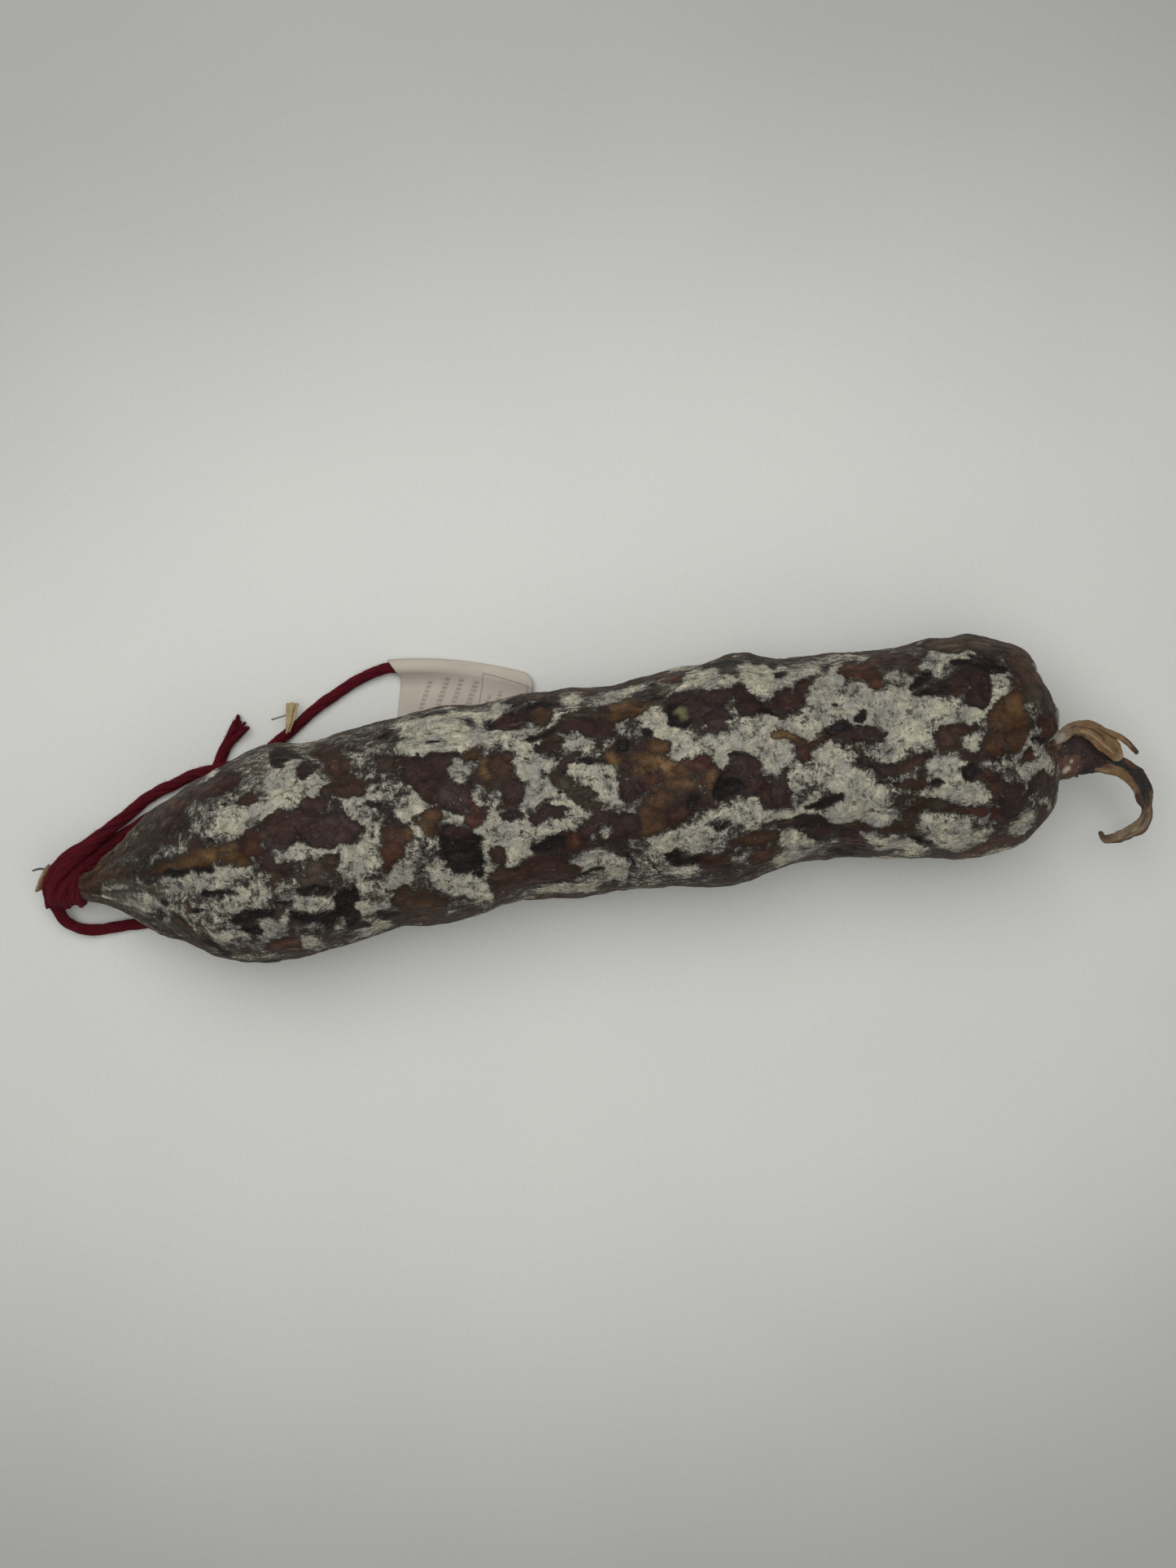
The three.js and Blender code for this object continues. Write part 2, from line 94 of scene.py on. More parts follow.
# Node helpers: inputs are given by name or number, as a socket to link or a plain value.
def addNode(tree, kind, inputs=None, **settings):
    made = tree.nodes.new(kind)
    for name, value in settings.items():
        setattr(made, name, value)
    for name, value in (inputs or {}).items():
        if isinstance(value, bpy.types.NodeSocket):
            tree.links.new(value, made.inputs[name])
        else:
            made.inputs[name].default_value = value
    return made


def calc(tree, operation, first, second=0.0):
    return addNode(tree, "ShaderNodeMath", {0: first, 1: second}, operation=operation).outputs[0]


def plus(tree, first, second):
    return calc(tree, "ADD", first, second)


def minus(tree, first, second):
    return calc(tree, "SUBTRACT", first, second)


def times(tree, first, second):
    return calc(tree, "MULTIPLY", first, second)


def larger(tree, first, second):
    return calc(tree, "MAXIMUM", first, second)


def mixColour(tree, amount, first, second, how="MIX"):
    inputs = {0: amount, 6: first, 7: second}
    return addNode(tree, "ShaderNodeMix", inputs, data_type="RGBA", blend_type=how).outputs[2]


def shaded(tree, colour, shade):
    return mixColour(tree, 1.0, colour, shade, "MULTIPLY")


# Carries a value from one range to another, and no further than its ends.
def spread(tree, value, low, high, toLow=0.0, toHigh=1.0, kind="SMOOTHSTEP"):
    inputs = {"Value": value, "From Min": low, "From Max": high, "To Min": toLow, "To Max": toHigh}
    return addNode(tree, "ShaderNodeMapRange", inputs, interpolation_type=kind).outputs[0]


# Places pushed about by slow noise.
def warped(tree, where, scale, amount, detail=2.0):
    inputs = {"Vector": where, "Scale": scale, "Detail": detail}
    pushed = addNode(tree, "ShaderNodeTexNoise", inputs).outputs[1]
    half = (0.5, 0.5, 0.5)
    centred = addNode(tree, "ShaderNodeVectorMath", {0: pushed, 1: half}, operation="SUBTRACT").outputs[0]
    inputs = {0: centred, 1: (amount, amount, amount), 2: where}
    return addNode(tree, "ShaderNodeVectorMath", inputs, operation="MULTIPLY_ADD").outputs[0]


def noise(tree, where, scale, detail=3.0, rough=0.5, twist=0.0):
    inputs = {"Vector": where, "Scale": scale, "Detail": detail, "Roughness": rough, "Distortion": twist}
    return addNode(tree, "ShaderNodeTexNoise", inputs).outputs[0]


def stretched(tree, where, scale, turn=(0.0, 0.0, 0.0)):
    inputs = {"Vector": where, "Scale": scale, "Rotation": turn}
    return addNode(tree, "ShaderNodeMapping", inputs, vector_type="POINT").outputs[0]


def millimetrePlaces(tree):
    place = addNode(tree, "ShaderNodeTexCoord").outputs["Object"]
    return addNode(tree, "ShaderNodeVectorMath", {0: place, "Scale": 1000.0}, operation="SCALE").outputs[0]


def attribute(tree, name, kind="Fac"):
    return addNode(tree, "ShaderNodeAttribute", attribute_name=name).outputs[kind]


def startMaterial(name):
    material = bpy.data.materials.new(name)
    material.use_nodes = True
    tree = material.node_tree
    tree.nodes.clear()
    shader = tree.nodes.new("ShaderNodeBsdfPrincipled")
    output = tree.nodes.new("ShaderNodeOutputMaterial")
    tree.links.new(shader.outputs[0], output.inputs[0])
    return material, tree, shader


def setSockets(shader, values):
    for name, value in values.items():
        shader.inputs[name].default_value = value


def bumped(tree, shader, height, strength, distance):
    inputs = {"Height": height, "Strength": strength, "Distance": distance}
    made = addNode(tree, "ShaderNodeBump", inputs)
    tree.links.new(made.outputs[0], shader.inputs["Normal"])


# Smooth lattice noise for shapes and paint, between -1 and 1. Every cell corner gets a value of its own
# from a hash of its place.
latticeFactors = (374761393, 668265263, 1103515245)
latticeMixer = 1274126177
wholeNumbers = 0xFFFFFFFF
octaveStep = {"seed": 31, "scale": 2.03, "shift": 17.7}


def latticeValue(cell, seed):
    mixed = sum(cell[..., axis] * factor for axis, factor in enumerate(latticeFactors))
    mixed = (mixed + seed * latticeMixer) & wholeNumbers
    mixed = ((mixed ^ (mixed >> 13)) * latticeMixer) & wholeNumbers
    return ((mixed ^ (mixed >> 16)) & 0xFFFF) / 32767.5 - 1


def latticeNoise(places, size, seed, octaves=1, fall=0.5):
    total = np.zeros(places.shape[:-1])
    weight = 1.0
    scaled = places / size
    for octave in range(octaves):
        cell = np.floor(scaled).astype(np.int64)
        share = scaled - cell
        share = share * share * (3 - 2 * share)
        level = np.zeros(places.shape[:-1])
        for corner in range(8):
            step = np.array([corner & 1, corner >> 1 & 1, corner >> 2 & 1])
            near = np.where(step, share, 1 - share).prod(axis=-1)
            level += near * latticeValue(cell + step, seed + octaveStep["seed"] * octave)
        total += weight * level
        scaled = scaled * octaveStep["scale"] + octaveStep["shift"]
        weight *= fall
    return total


def smoothStep(value, low, high):
    share = np.clip((value - low) / (high - low), 0, 1)
    return share * share * (3 - 2 * share)


def lerp(first, second, share):
    return first + (second - first) * share


def unit(vector):
    return vector / np.linalg.norm(vector)


def unitRows(rows):
    return rows / np.linalg.norm(rows, axis=-1, keepdims=True)


# Two directions square to an axis and to each other. The first one is level.
def squareTo(axis):
    side = unit(np.cross(axis, (0, 0, 1.0)))
    return side, np.cross(side, axis)


def anglesRound(sides):
    return fullTurn * np.arange(sides) / sides


# Way travelled along a line at each of its points.
def wayAlong(line):
    return np.concatenate([[0], np.cumsum(np.linalg.norm(np.diff(line, axis=0), axis=1))])


# Turns a grid of points into a closed skin. Rows run along the piece and columns round it, and a single
# point closes each end. An attribute has a value for the first end, then one for each point, then one for
# the last end.
def closedSkin(name, rows, ends, attributes, material):
    rowCount, columnCount = rows.shape[:2]
    places = np.concatenate([ends[0][None], rows.reshape(-1, 3), ends[1][None]]) * metre
    index = 1 + np.arange(rowCount * columnCount).reshape(rowCount, columnCount)
    after = np.roll(index, -1, axis=1)
    quads = np.stack([index[:-1], after[:-1], after[1:], index[1:]], axis=-1).reshape(-1, 4)
    last = len(places) - 1
    firstFan = np.stack([np.zeros(columnCount, int), after[0], index[0]], axis=-1)
    lastFan = np.stack([np.full(columnCount, last), index[-1], after[-1]], axis=-1)
    mesh = bpy.data.meshes.new(name)
    mesh.from_pydata(places.tolist(), [], quads.tolist() + firstFan.tolist() + lastFan.tolist())
    for label, (start, values, end) in attributes.items():
        inside = values.reshape(rowCount * columnCount, -1)
        writeAttribute(mesh, label, np.concatenate([np.atleast_2d(start), inside, np.atleast_2d(end)]))
    return finishPiece(name, mesh, material)


def writeAttribute(mesh, label, values):
    if values.shape[1] == 1:
        made = mesh.attributes.new(label, "FLOAT", "POINT")
        made.data.foreach_set("value", values.astype(np.float32).ravel())
    else:
        made = mesh.attributes.new(label, "FLOAT_COLOR", "POINT")
        full = np.concatenate([values, np.ones((len(values), 1))], axis=1)
        made.data.foreach_set("color", full.astype(np.float32).ravel())


def finishPiece(name, mesh, material):
    mesh.shade_smooth()
    mesh.materials.append(material)
    return linked(bpy.data.objects.new(name, mesh))


def linked(made):
    bpy.context.scene.collection.objects.link(made)
    return made


# The piece stands for a node of the frame and rides on its only body.
def fitPiece(piece, node):
    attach(piece, "root")
    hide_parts(node)


# Camera, floor and lights.
def makeCamera():
    settings = cameraSettings
    data = bpy.data.cameras.new("camera")
    data.lens = settings["lens"]
    data.sensor_width = settings["sensorWidth"]
    data.clip_start = settings["nearest"]
    data.clip_end = settings["furthest"]
    made = linked(bpy.data.objects.new("camera", data))
    made.location = Vector(settings["place"]) * metre
    made.rotation_euler = (0, 0, math.radians(settings["turn"]))
    bpy.context.scene.camera = made


def makeLights():
    for name, (power, size, place) in lightSettings["lights"].items():
        data = bpy.data.lights.new(name, "AREA")
        data.energy = power
        data.size = size * metre
        made = linked(bpy.data.objects.new(name, data))
        made.location = Vector(place) * metre
        made.rotation_mode = "QUATERNION"
        made.rotation_quaternion = (-Vector(place)).to_track_quat("-Z", "Y")
    world = bpy.data.worlds.new("softRoom")
    world.use_nodes = True
    setSockets(world.node_tree.nodes["Background"], {
        "Color": lightSettings["worldColour"], "Strength": lightSettings["world"],
    })
    bpy.context.scene.world = world
    bpy.context.scene.view_settings.view_transform = "Standard"


def makeTable():
    settings = tableSettings
    material, tree, shader = startMaterial("paleTable")
    where = millimetrePlaces(tree)
    mottle = noise(tree, where, *settings["mottle"])
    grain = noise(tree, where, *settings["grain"])
    centre = [place * share for place, share in zip(settings["fadeCentre"], settings["fadeStretch"])]
    inputs = {0: stretched(tree, where, settings["fadeStretch"]), 1: centre}
    apart = addNode(tree, "ShaderNodeVectorMath", inputs, operation="DISTANCE").outputs["Value"]
    pale = mixColour(tree, mottle, srgb(*settings["colour"]), srgb(*settings["shade"]))
    # Painted shade: the table darkens away from the middle.
    pale = shaded(tree, pale, spread(tree, apart, *settings["fade"]))
    colour = shaded(tree, pale, spread(tree, grain, *settings["grainShades"]))
    tree.links.new(colour, shader.inputs["Base Color"])
    setSockets(shader, {"Roughness": settings["roughness"]})
    bumped(tree, shader, grain, *settings["bump"])
    half = settings["size"] * metre / 2
    mesh = bpy.data.meshes.new("table_top")
    corners = [(-half, -half, 0), (half, -half, 0), (half, half, 0), (-half, half, 0)]
    mesh.from_pydata(corners, [], [(0, 1, 2, 3)])
    finishPiece("table_top", mesh, material)


makeCamera()
makeTable()
makeLights()
print("camera, table and lights made")

# Strings. Each is a bundle of yarns laid round a route, and every yarn carries stray fibres.
stringSettings = {
    "diameter": 2.4,
    "yarns": 8,
    "yarnRadius": 0.56,
    "layRadius": 0.64,
    "layLength": 24.0,
    "unevenLay": (0.35, 5.3, 2.1),
    "wanderLength": 3.1,
    "openingShares": (0.6, 1.3),
    "shortened": 4,
    "lowestShare": 0.75,
    "pointStep": 0.36,
    "yarnSides": 12,
    "roughness": 0.16,
    "roughnessSize": 0.42,
    "fibreLength": 0.75,
    "fibreRadius": 0.012,
    "fibresPerMillimetre": 70,
}
# A frayed end: thin plies that start inside the string, spread and bend.
tuftSettings = {
    "plies": 18,
    "radius": 0.3,
    "length": 4.4,
    "spread": 0.26,
    "startBehind": (1.5, 3.5),
    "startAside": 0.9,
    "startHeight": 0.6,
    "rise": 0.08,
    "bend": 0.3,
    "lengthShare": (0.8, 1.1),
    "lowest": 0.3,
    "points": 7,
    "fibresPerMillimetre": 200,
}
cottonLook = {
    "grooveShade": (38, 3, 9),
    "crimson": (78, 8, 20),
    "raisedHighlight": (100, 18, 33),
    "fluffColour": (120, 34, 50),
    "fluffShare": 0.75,
    "alongRate": 0.45,
    "strands": (2.6, 4.0, 0.7),
    "fluff": (3.2, 5.0, 0.75, 0.8),
    "patches": (0.35, 3.0),
    "crimsonRange": (0.38, 0.5),
    "raisedHighlightRange": (0.5, 0.66),
    "worn": (0.35, 0.75, 0.85, 1.1),
    "sheenTint": (180, 50, 75),
    "bump": (1.0, 0.0004),
}

labelStringRoute = [
    (-107.8, 2, 10.6), (-105.9, 3.5, 8.8), (-103.8, 5.2, 6.8), (-101.3, 7, 4.8), (-98.7, 9, 3),
    (-96, 11, 1.9), (-93, 12.7, 1.4), (-89.3, 14.3, 1.3), (-85.1, 15.5, 2), (-81.8, 16.3, 3.4),
    (-78.6, 16.7, 4.3), (-75.4, 16.8, 4.2), (-72.2, 17.1, 2.9), (-69, 17.9, 1.6), (-65.6, 19.6, 1.3),
    (-61.5, 22.2, 1.3), (-57.4, 24.9, 1.3), (-53.2, 27.5, 1.3), (-49, 29.7, 1.3), (-45, 31.4, 1.4),
    (-41.8, 32.5, 1.7), (-38.9, 33.2, 1.9), (-36, 33.1, 1.9), (-32.8, 32.8, 1.9),
]
frayedStringRoute = [
    (-106.5, -0.3, 8.7), (-105.1, 1.2, 6.7), (-103.1, 2.9, 4.6), (-100.7, 4.5, 2.8), (-98, 6.1, 1.7),
    (-94.6, 7.8, 1.3), (-91, 9.6, 1.3), (-87.2, 11.3, 1.3), (-83.6, 12.6, 1.3), (-80.2, 14, 1.3),
    (-77.7, 16.5, 1.3), (-76.1, 19.5, 1.3), (-74.1, 22.3, 1.4), (-71.8, 24.9, 1.6),
]
hangingLoopRoute = [
    (-114.4, -7.7, 5.2), (-114, -9.8, 4.2), (-113, -11.6, 3.2), (-111.4, -12.9, 2.4), (-109.4, -13.6, 1.8),
    (-107.2, -13.8, 1.4), (-104.6, -13.8, 1.3), (-101.9, -13.8, 1.3), (-99.2, -13.8, 1.3),
    (-96.4, -13.8, 1.3), (-93.2, -12.9, 1.3), (-90.9, -10.6, 1.3), (-90, -7.4, 1.3), (-90.9, -4.2, 1.3),
    (-93.2, -1.9, 1.3), (-96.4, -1, 1.3), (-99.5, -1.2, 1.3), (-102.3, -1.8, 1.5), (-105.1, -2.7, 2),
    (-107.9, -3.6, 2.9),
]


# A centripetal curve through the points, sampled at even steps.
def smoothRoute(points, step, samples=24):
    points = np.array(points, float)
    padded = np.concatenate([2 * points[:1] - points[1:2], points, 2 * points[-1:] - points[-2:-1]])
    line = []
    for i in range(1, len(padded) - 2):
        p0, p1, p2, p3 = padded[i - 1 : i + 3]
        t1 = np.sqrt(np.linalg.norm(p1 - p0)) + 1e-9
        t2 = t1 + np.sqrt(np.linalg.norm(p2 - p1)) + 1e-9
        t3 = t2 + np.sqrt(np.linalg.norm(p3 - p2)) + 1e-9
        for t in np.linspace(t1, t2, samples, endpoint=False):
            a1 = p0 * (t1 - t) / t1 + p1 * t / t1
            a2 = p1 * (t2 - t) / (t2 - t1) + p2 * (t - t1) / (t2 - t1)
            a3 = p2 * (t3 - t) / (t3 - t2) + p3 * (t - t2) / (t3 - t2)
            b1 = a1 * (t2 - t) / t2 + a2 * t / t2
            b2 = a2 * (t3 - t) / (t3 - t1) + a3 * (t - t1) / (t3 - t1)
            line.append(b1 * (t2 - t) / (t2 - t1) + b2 * (t - t1) / (t2 - t1))
    line.append(points[-1])
    line = np.array(line)
    travelled = wayAlong(line)
    count = max(4, int(round(travelled[-1] / step)) + 1)
    even = np.linspace(0, travelled[-1], count)
    return np.stack([np.interp(even, travelled, line[:, axis]) for axis in range(3)], axis=1), even


# Directions across a line that turn as little as possible along it.
def carriedFrames(line):
    tangent = unitRows(np.gradient(line, axis=0))
    sides = [squareTo(tangent[0])[0]]
    for direction in tangent[1:]:
        sides.append(unit(sides[-1] - direction * (sides[-1] @ direction)))
    sides = np.array(sides)
    return sides, np.cross(tangent, sides)


# The yarns of one string. They part from each other near its start and its end.
def yarnLines(points, seed, flareStart=0.0, flareEnd=0.0, flareLength=6.0, startLength=6.0, looseness=0.12):
    settings = stringSettings
    line, travelled = smoothRoute(points, settings["pointStep"])
    side, over = carriedFrames(line)
    random = np.random.default_rng(seed)
    length = travelled[-1]
    uneven, waveLength, waveStep = settings["unevenLay"]
    yarns = []
    for number in range(settings["yarns"]):
        turn = fullTurn * (number / settings["yarns"] + travelled / settings["layLength"])
        turn = turn + uneven * np.sin(travelled / waveLength + number * waveStep)
        wander = 1 + looseness * np.sin(travelled / settings["wanderLength"] + random.uniform(0, 6.3))
        opening = flareEnd * smoothStep(travelled, length - flareLength, length)
        opening = opening + flareStart * smoothStep(-travelled, -startLength, 0)
        reach = settings["layRadius"] * wander * (1 + opening * random.uniform(*settings["openingShares"]))
        yarn = line + side * (np.cos(turn) * reach)[:, None] + over * (np.sin(turn) * reach)[:, None]
        if flareEnd:
            yarn = yarn[: len(yarn) - random.integers(0, settings["shortened"])]
        yarn[:, 2] = np.maximum(yarn[:, 2], settings["yarnRadius"] * settings["lowestShare"])
        yarns.append(yarn)
    return line, length, yarns


# A tuft of thin plies that fan out from the last point of a route.
def tuftLines(points, seed):
    settings = tuftSettings
    random = np.random.default_rng(seed)
    end, before = np.array(points[-1], float), np.array(points[-2], float)
    forward = unit(end - before)
    side = np.cross(forward, (0, 0, 1.0))
    plies = []
    for _ in range(settings["plies"]):
        across = random.uniform(-1, 1)
        start = end - forward * random.uniform(*settings["startBehind"])
        start = start + side * across * settings["startAside"]
        start[2] += random.uniform(-settings["startHeight"], settings["startHeight"])
        rise = np.array((0, 0, random.normal() * settings["rise"]))
        aim = forward + side * across * settings["spread"] + rise
        bend = side * random.normal() * settings["bend"]
        share = np.linspace(0, 1, settings["points"])[:, None]
        ply = start + aim * share * settings["length"] * random.uniform(*settings["lengthShare"])
        ply = ply + bend * share**2
        ply[:, 2] = np.maximum(ply[:, 2], settings["lowest"])
        plies.append(ply)
    return plies


# The tree sweeps a round section along the yarns, then scatters short fibres over them.
yarnInputs = [
    ("Yarns", "NodeSocketGeometry", None),
    ("Yarn Radius", "NodeSocketFloat", 0.0005),
    ("Roughness", "NodeSocketFloat", 0.0001),
    ("Roughness Scale", "NodeSocketFloat", 2500),
    ("Fibre Length", "NodeSocketFloat", 0.0015),
    ("Fibre Radius", "NodeSocketFloat", 0.00003),
    ("Fibre Density", "NodeSocketFloat", 1e6),
    ("Sides", "NodeSocketInt", 10),
    ("Seed", "NodeSocketInt", 1),
]
fibreShape = {
    "detail": 2.0,
    "lean": (0.95, 0.95, 3.1),
    "shortest": 0.35,
    "middle": 0.5,
    "bend": 0.3,
    "steps": 2,
    "sides": 3,
}


def makeYarnTree(material):
    shape = fibreShape
    tree = bpy.data.node_groups.new("yarnWithFibres", "GeometryNodeTree")
    for label, kind, value in yarnInputs:
        socket = tree.interface.new_socket(label, in_out="INPUT", socket_type=kind)
        if value is not None:
            socket.default_value = value
    tree.interface.new_socket("String", in_out="OUTPUT", socket_type="NodeSocketGeometry")
    source = tree.nodes.new("NodeGroupInput").outputs

    def made(kind, inputs=None, output=0, **settings):
        return addNode(tree, kind, inputs, **settings).outputs[output]

    def stored(geometry, name, value):
        inputs = {"Geometry": geometry, "Name": name, "Value": value}
        return made("GeometryNodeStoreNamedAttribute", inputs, data_type="FLOAT", domain="POINT")

    def swept(curve, section):
        inputs = {"Curve": curve, "Profile Curve": section, "Fill Caps": True}
        return made("GeometryNodeCurveToMesh", inputs)

    # The yarns, with an uneven skin.
    section = {"Resolution": source["Sides"], "Radius": source["Yarn Radius"]}
    factor = addNode(tree, "GeometryNodeSplineParameter").outputs
    around = stored(made("GeometryNodeCurvePrimitiveCircle", section), "around", factor["Factor"])
    yarn = swept(stored(source["Yarns"], "along", factor["Length"]), around)
    grain = made("ShaderNodeTexNoise", {"Scale": source["Roughness Scale"], "Detail": shape["detail"]})
    height = times(tree, minus(tree, grain, 0.5), source["Roughness"])
    lift = {0: made("GeometryNodeInputNormal"), "Scale": height}
    offset = made("ShaderNodeVectorMath", lift, operation="SCALE")
    uneven = made("GeometryNodeSetPosition", {"Geometry": yarn, "Offset": offset})
    smooth = made("GeometryNodeSetShadeSmooth", {"Geometry": uneven})

    # One fibre, strewn over the yarns with a random lean and length.
    strewn = {"Mesh": uneven, "Density": source["Fibre Density"], "Seed": source["Seed"]}
    scattered = addNode(tree, "GeometryNodeDistributePointsOnFaces", strewn).outputs
    lean = {0: tuple(-most for most in shape["lean"]), 1: shape["lean"], "Seed": source["Seed"]}
    leaning = made("FunctionNodeRandomValue", lean, data_type="FLOAT_VECTOR")
    turning = {"Rotation": scattered["Rotation"], "Rotate By": leaning}
    turned = made("FunctionNodeRotateRotation", turning, rotation_space="LOCAL")
    longer = {2: shape["shortest"], 3: 1.0, "Seed": source["Seed"]}
    size = made("FunctionNodeRandomValue", longer, output=1, data_type="FLOAT")
    bend = times(tree, source["Fibre Length"], shape["bend"])
    half = times(tree, source["Fibre Length"], shape["middle"])
    arc = {
        "Resolution": shape["steps"],
        "Start": (0, 0, 0),
        "Middle": made("ShaderNodeCombineXYZ", {"X": bend, "Z": half}),
        "End": made("ShaderNodeCombineXYZ", {"Z": source["Fibre Length"]}),
    }
    thin = {"Resolution": shape["sides"], "Radius": source["Fibre Radius"]}
    bent = made("GeometryNodeCurveQuadraticBezier", arc)
    fibre = stored(swept(bent, made("GeometryNodeCurvePrimitiveCircle", thin)), "fluff", 1.0)
    spots = {"Points": scattered["Points"], "Instance": fibre, "Rotation": turned, "Scale": size}
    placed = made("GeometryNodeInstanceOnPoints", spots)

    joined = addNode(tree, "GeometryNodeJoinGeometry")
    tree.links.new(placed, joined.inputs[0])
    tree.links.new(smooth, joined.inputs[0])
    real = made("GeometryNodeRealizeInstances", {"Geometry": joined.outputs[0]})
    dressed = made("GeometryNodeSetMaterial", {"Geometry": real, "Material": material})
    tree.links.new(dressed, tree.nodes.new("NodeGroupOutput").inputs[0])
    return tree


# Runs a tree on a piece and puts a plain mesh in the piece's place.
def runTree(piece, tree, values):
    modifier = piece.modifiers.new("build", "NODES")
    modifier.node_group = tree
    for item in tree.interface.items_tree:
        if item.in_out == "INPUT" and item.name in values:
            modifier[item.identifier] = values[item.name]
    bpy.context.view_layer.update()
    depsgraph = bpy.context.evaluated_depsgraph_get()
    built = piece.evaluated_get(depsgraph)
    mesh = bpy.data.meshes.new_from_object(built, preserve_all_data_layers=True, depsgraph=depsgraph)
    name, source = piece.name, piece.data
    bpy.data.objects.remove(piece)
    bpy.data.curves.remove(source)
    mesh.name = name
    return linked(bpy.data.objects.new(name, mesh))


def makeYarnPiece(name, yarns, seed, radius=stringSettings["yarnRadius"], fibres=None):
    settings = stringSettings
    curve = bpy.data.curves.new(name, "CURVE")
    curve.dimensions = "3D"
    for yarn in yarns:
        spline = curve.splines.new("POLY")
        spline.points.add(len(yarn) - 1)
        places = np.concatenate([yarn * metre, np.ones((len(yarn), 1))], axis=1)
        spline.points.foreach_set("co", places.ravel())
    skinPerMillimetre = fullTurn * settings["yarnRadius"] * settings["yarns"]
    density = (fibres or settings["fibresPerMillimetre"]) / skinPerMillimetre
    return runTree(linked(bpy.data.objects.new(name, curve)), yarnTree, {
        "Yarn Radius": radius * metre,
        "Roughness": settings["roughness"] * metre * min(1, radius / settings["yarnRadius"]),
        "Roughness Scale": 1 / (settings["roughnessSize"] * metre),
        "Fibre Length": settings["fibreLength"] * metre,
        "Fibre Radius": settings["fibreRadius"] * metre,
        "Fibre Density": density * 1e6,
        "Sides": settings["yarnSides"],
        "Seed": seed,
    })


# Crimson cotton: strands wind along each yarn, and fluff lies over them.
def makeCottonMaterial():
    look = cottonLook
    material, tree, shader = startMaterial("crimsonCotton")
    where = millimetrePlaces(tree)
    along = times(tree, attribute(tree, "along"), 1000.0)
    winding = plus(tree, times(tree, attribute(tree, "around"), 6.283), along)
    spun = addNode(tree, "ShaderNodeCombineXYZ", {
        "X": times(tree, along, look["alongRate"]),
        "Y": calc(tree, "SINE", winding),
        "Z": calc(tree, "COSINE", winding),
    }).outputs[0]
    strands = noise(tree, spun, *look["strands"])
    fluff = noise(tree, where, *look["fluff"])
    ply = plus(tree, times(tree, strands, 0.5), times(tree, fluff, 0.5))
    # Painted shade and highlight: the colour runs from dark in the grooves between strands to light on the
    # raised strands.
    colour = srgb(*look["grooveShade"])
    for key in ("crimson", "raisedHighlight"):
        colour = mixColour(tree, spread(tree, ply, *look[key + "Range"]), colour, srgb(*look[key]))
    onFibre = times(tree, attribute(tree, "fluff"), look["fluffShare"])
    colour = mixColour(tree, onFibre, colour, srgb(*look["fluffColour"]))
    patches = noise(tree, where, *look["patches"])
    colour = shaded(tree, colour, spread(tree, patches, *look["worn"]))
    tree.links.new(colour, shader.inputs["Base Color"])
    setSockets(shader, {
        "Roughness": 0.95, "Specular IOR Level": 0.2, "Sheen Weight": 0.2, "Sheen Roughness": 0.5,
        "Sheen Tint": srgb(*look["sheenTint"]),
    })
    bumped(tree, shader, ply, *look["bump"])
    return material


yarnTree = makeYarnTree(makeCottonMaterial())


# A string leaves the knot at its first point and ends at its last one.
def makeString(name, points, seed, farEnd, withPieces=(), **flare):
    line, length, yarns = yarnLines(points, seed, **flare)
    piece = makeYarnPiece(name + "_yarns", yarns, seed)
    fitPiece(piece, name)
    print(name, "made,", round(length, 1), "mm long")


# Label: paper folded over the end of its string. Its section runs from the lower edge round the fold and
# back along the upper side.
labelSettings = {
    "corner": (-38.0, 33.25),
    "turn": -0.243,
    "length": 32,
    "depth": 16,
    "foldRadius": 1.65,
    "foldSweep": 1.32 * math.pi,
    "restHeight": 0.25,
    "thickness": 0.3,
    "layerGap": 0.12,
    "settleLength": 3.2,
    "flattening": 0.5,
    "flattened": (6, 20),
    "bow": 1.5,
    "cornerRadius": 2.6,
    "trim": 0.3,
    "mouthSlant": 3.3,
    "mouthDepth": 4,
    "creaseHeight": 0.12,
    "creaseSize": 9.0,
    "creased": (4, 12),
    "seed": 5,
    "steps": 26,
    "columns": 60,
}
# Paper, and its print of one empty frame and short grey bars. Of the frame: middle along and down, half
# width and half height. Of a bar: along, down, half length and half width.
paperLook = {
    "colour": (190, 180, 167),
    "shade": (173, 163, 151),
    "mottle": (0.25, 4.0),
    "fibres": (6.0, 3.0),
    "fibreShades": (0.2, 0.8, 0.94, 1.05, "LINEAR"),
    "ink": (84, 80, 78),
    "inkAmount": 0.6,
    "inkNoise": (3.0, 2.0),
    "inkFaded": (0.3, 0.7, 0.6, 1.0),
    "frame": (25.7, 6.9, 4.8, 4.6),
    "frameLean": -0.04,
    "frameTilt": 0.064,
    "frameLine": (0.08, 0.17, 1.0, 0.0),
    "bars": [
        (9.1, 7.6, 0.5, 3.2), (12.8, 6.8, 0.55, 3.1), (15.8, 7.0, 0.5, 3.5), (19.0, 6.9, 0.6, 3.3),
        (24.9, 6.0, 0.4, 1.0), (22.7, 7.2, 0.35, 1.1),
    ],
    "barLean": -0.25,
    "barEdge": (-0.06, 0.14, 1.0, 0.0),
    "tickStep": 0.95,
    "tickShades": (-0.5, 0.2, 0.25, 0.85),
    "creases": (0.3, 2.0),
    "creaseShare": 3.0,
    "bump": (0.35, 0.00012),
}


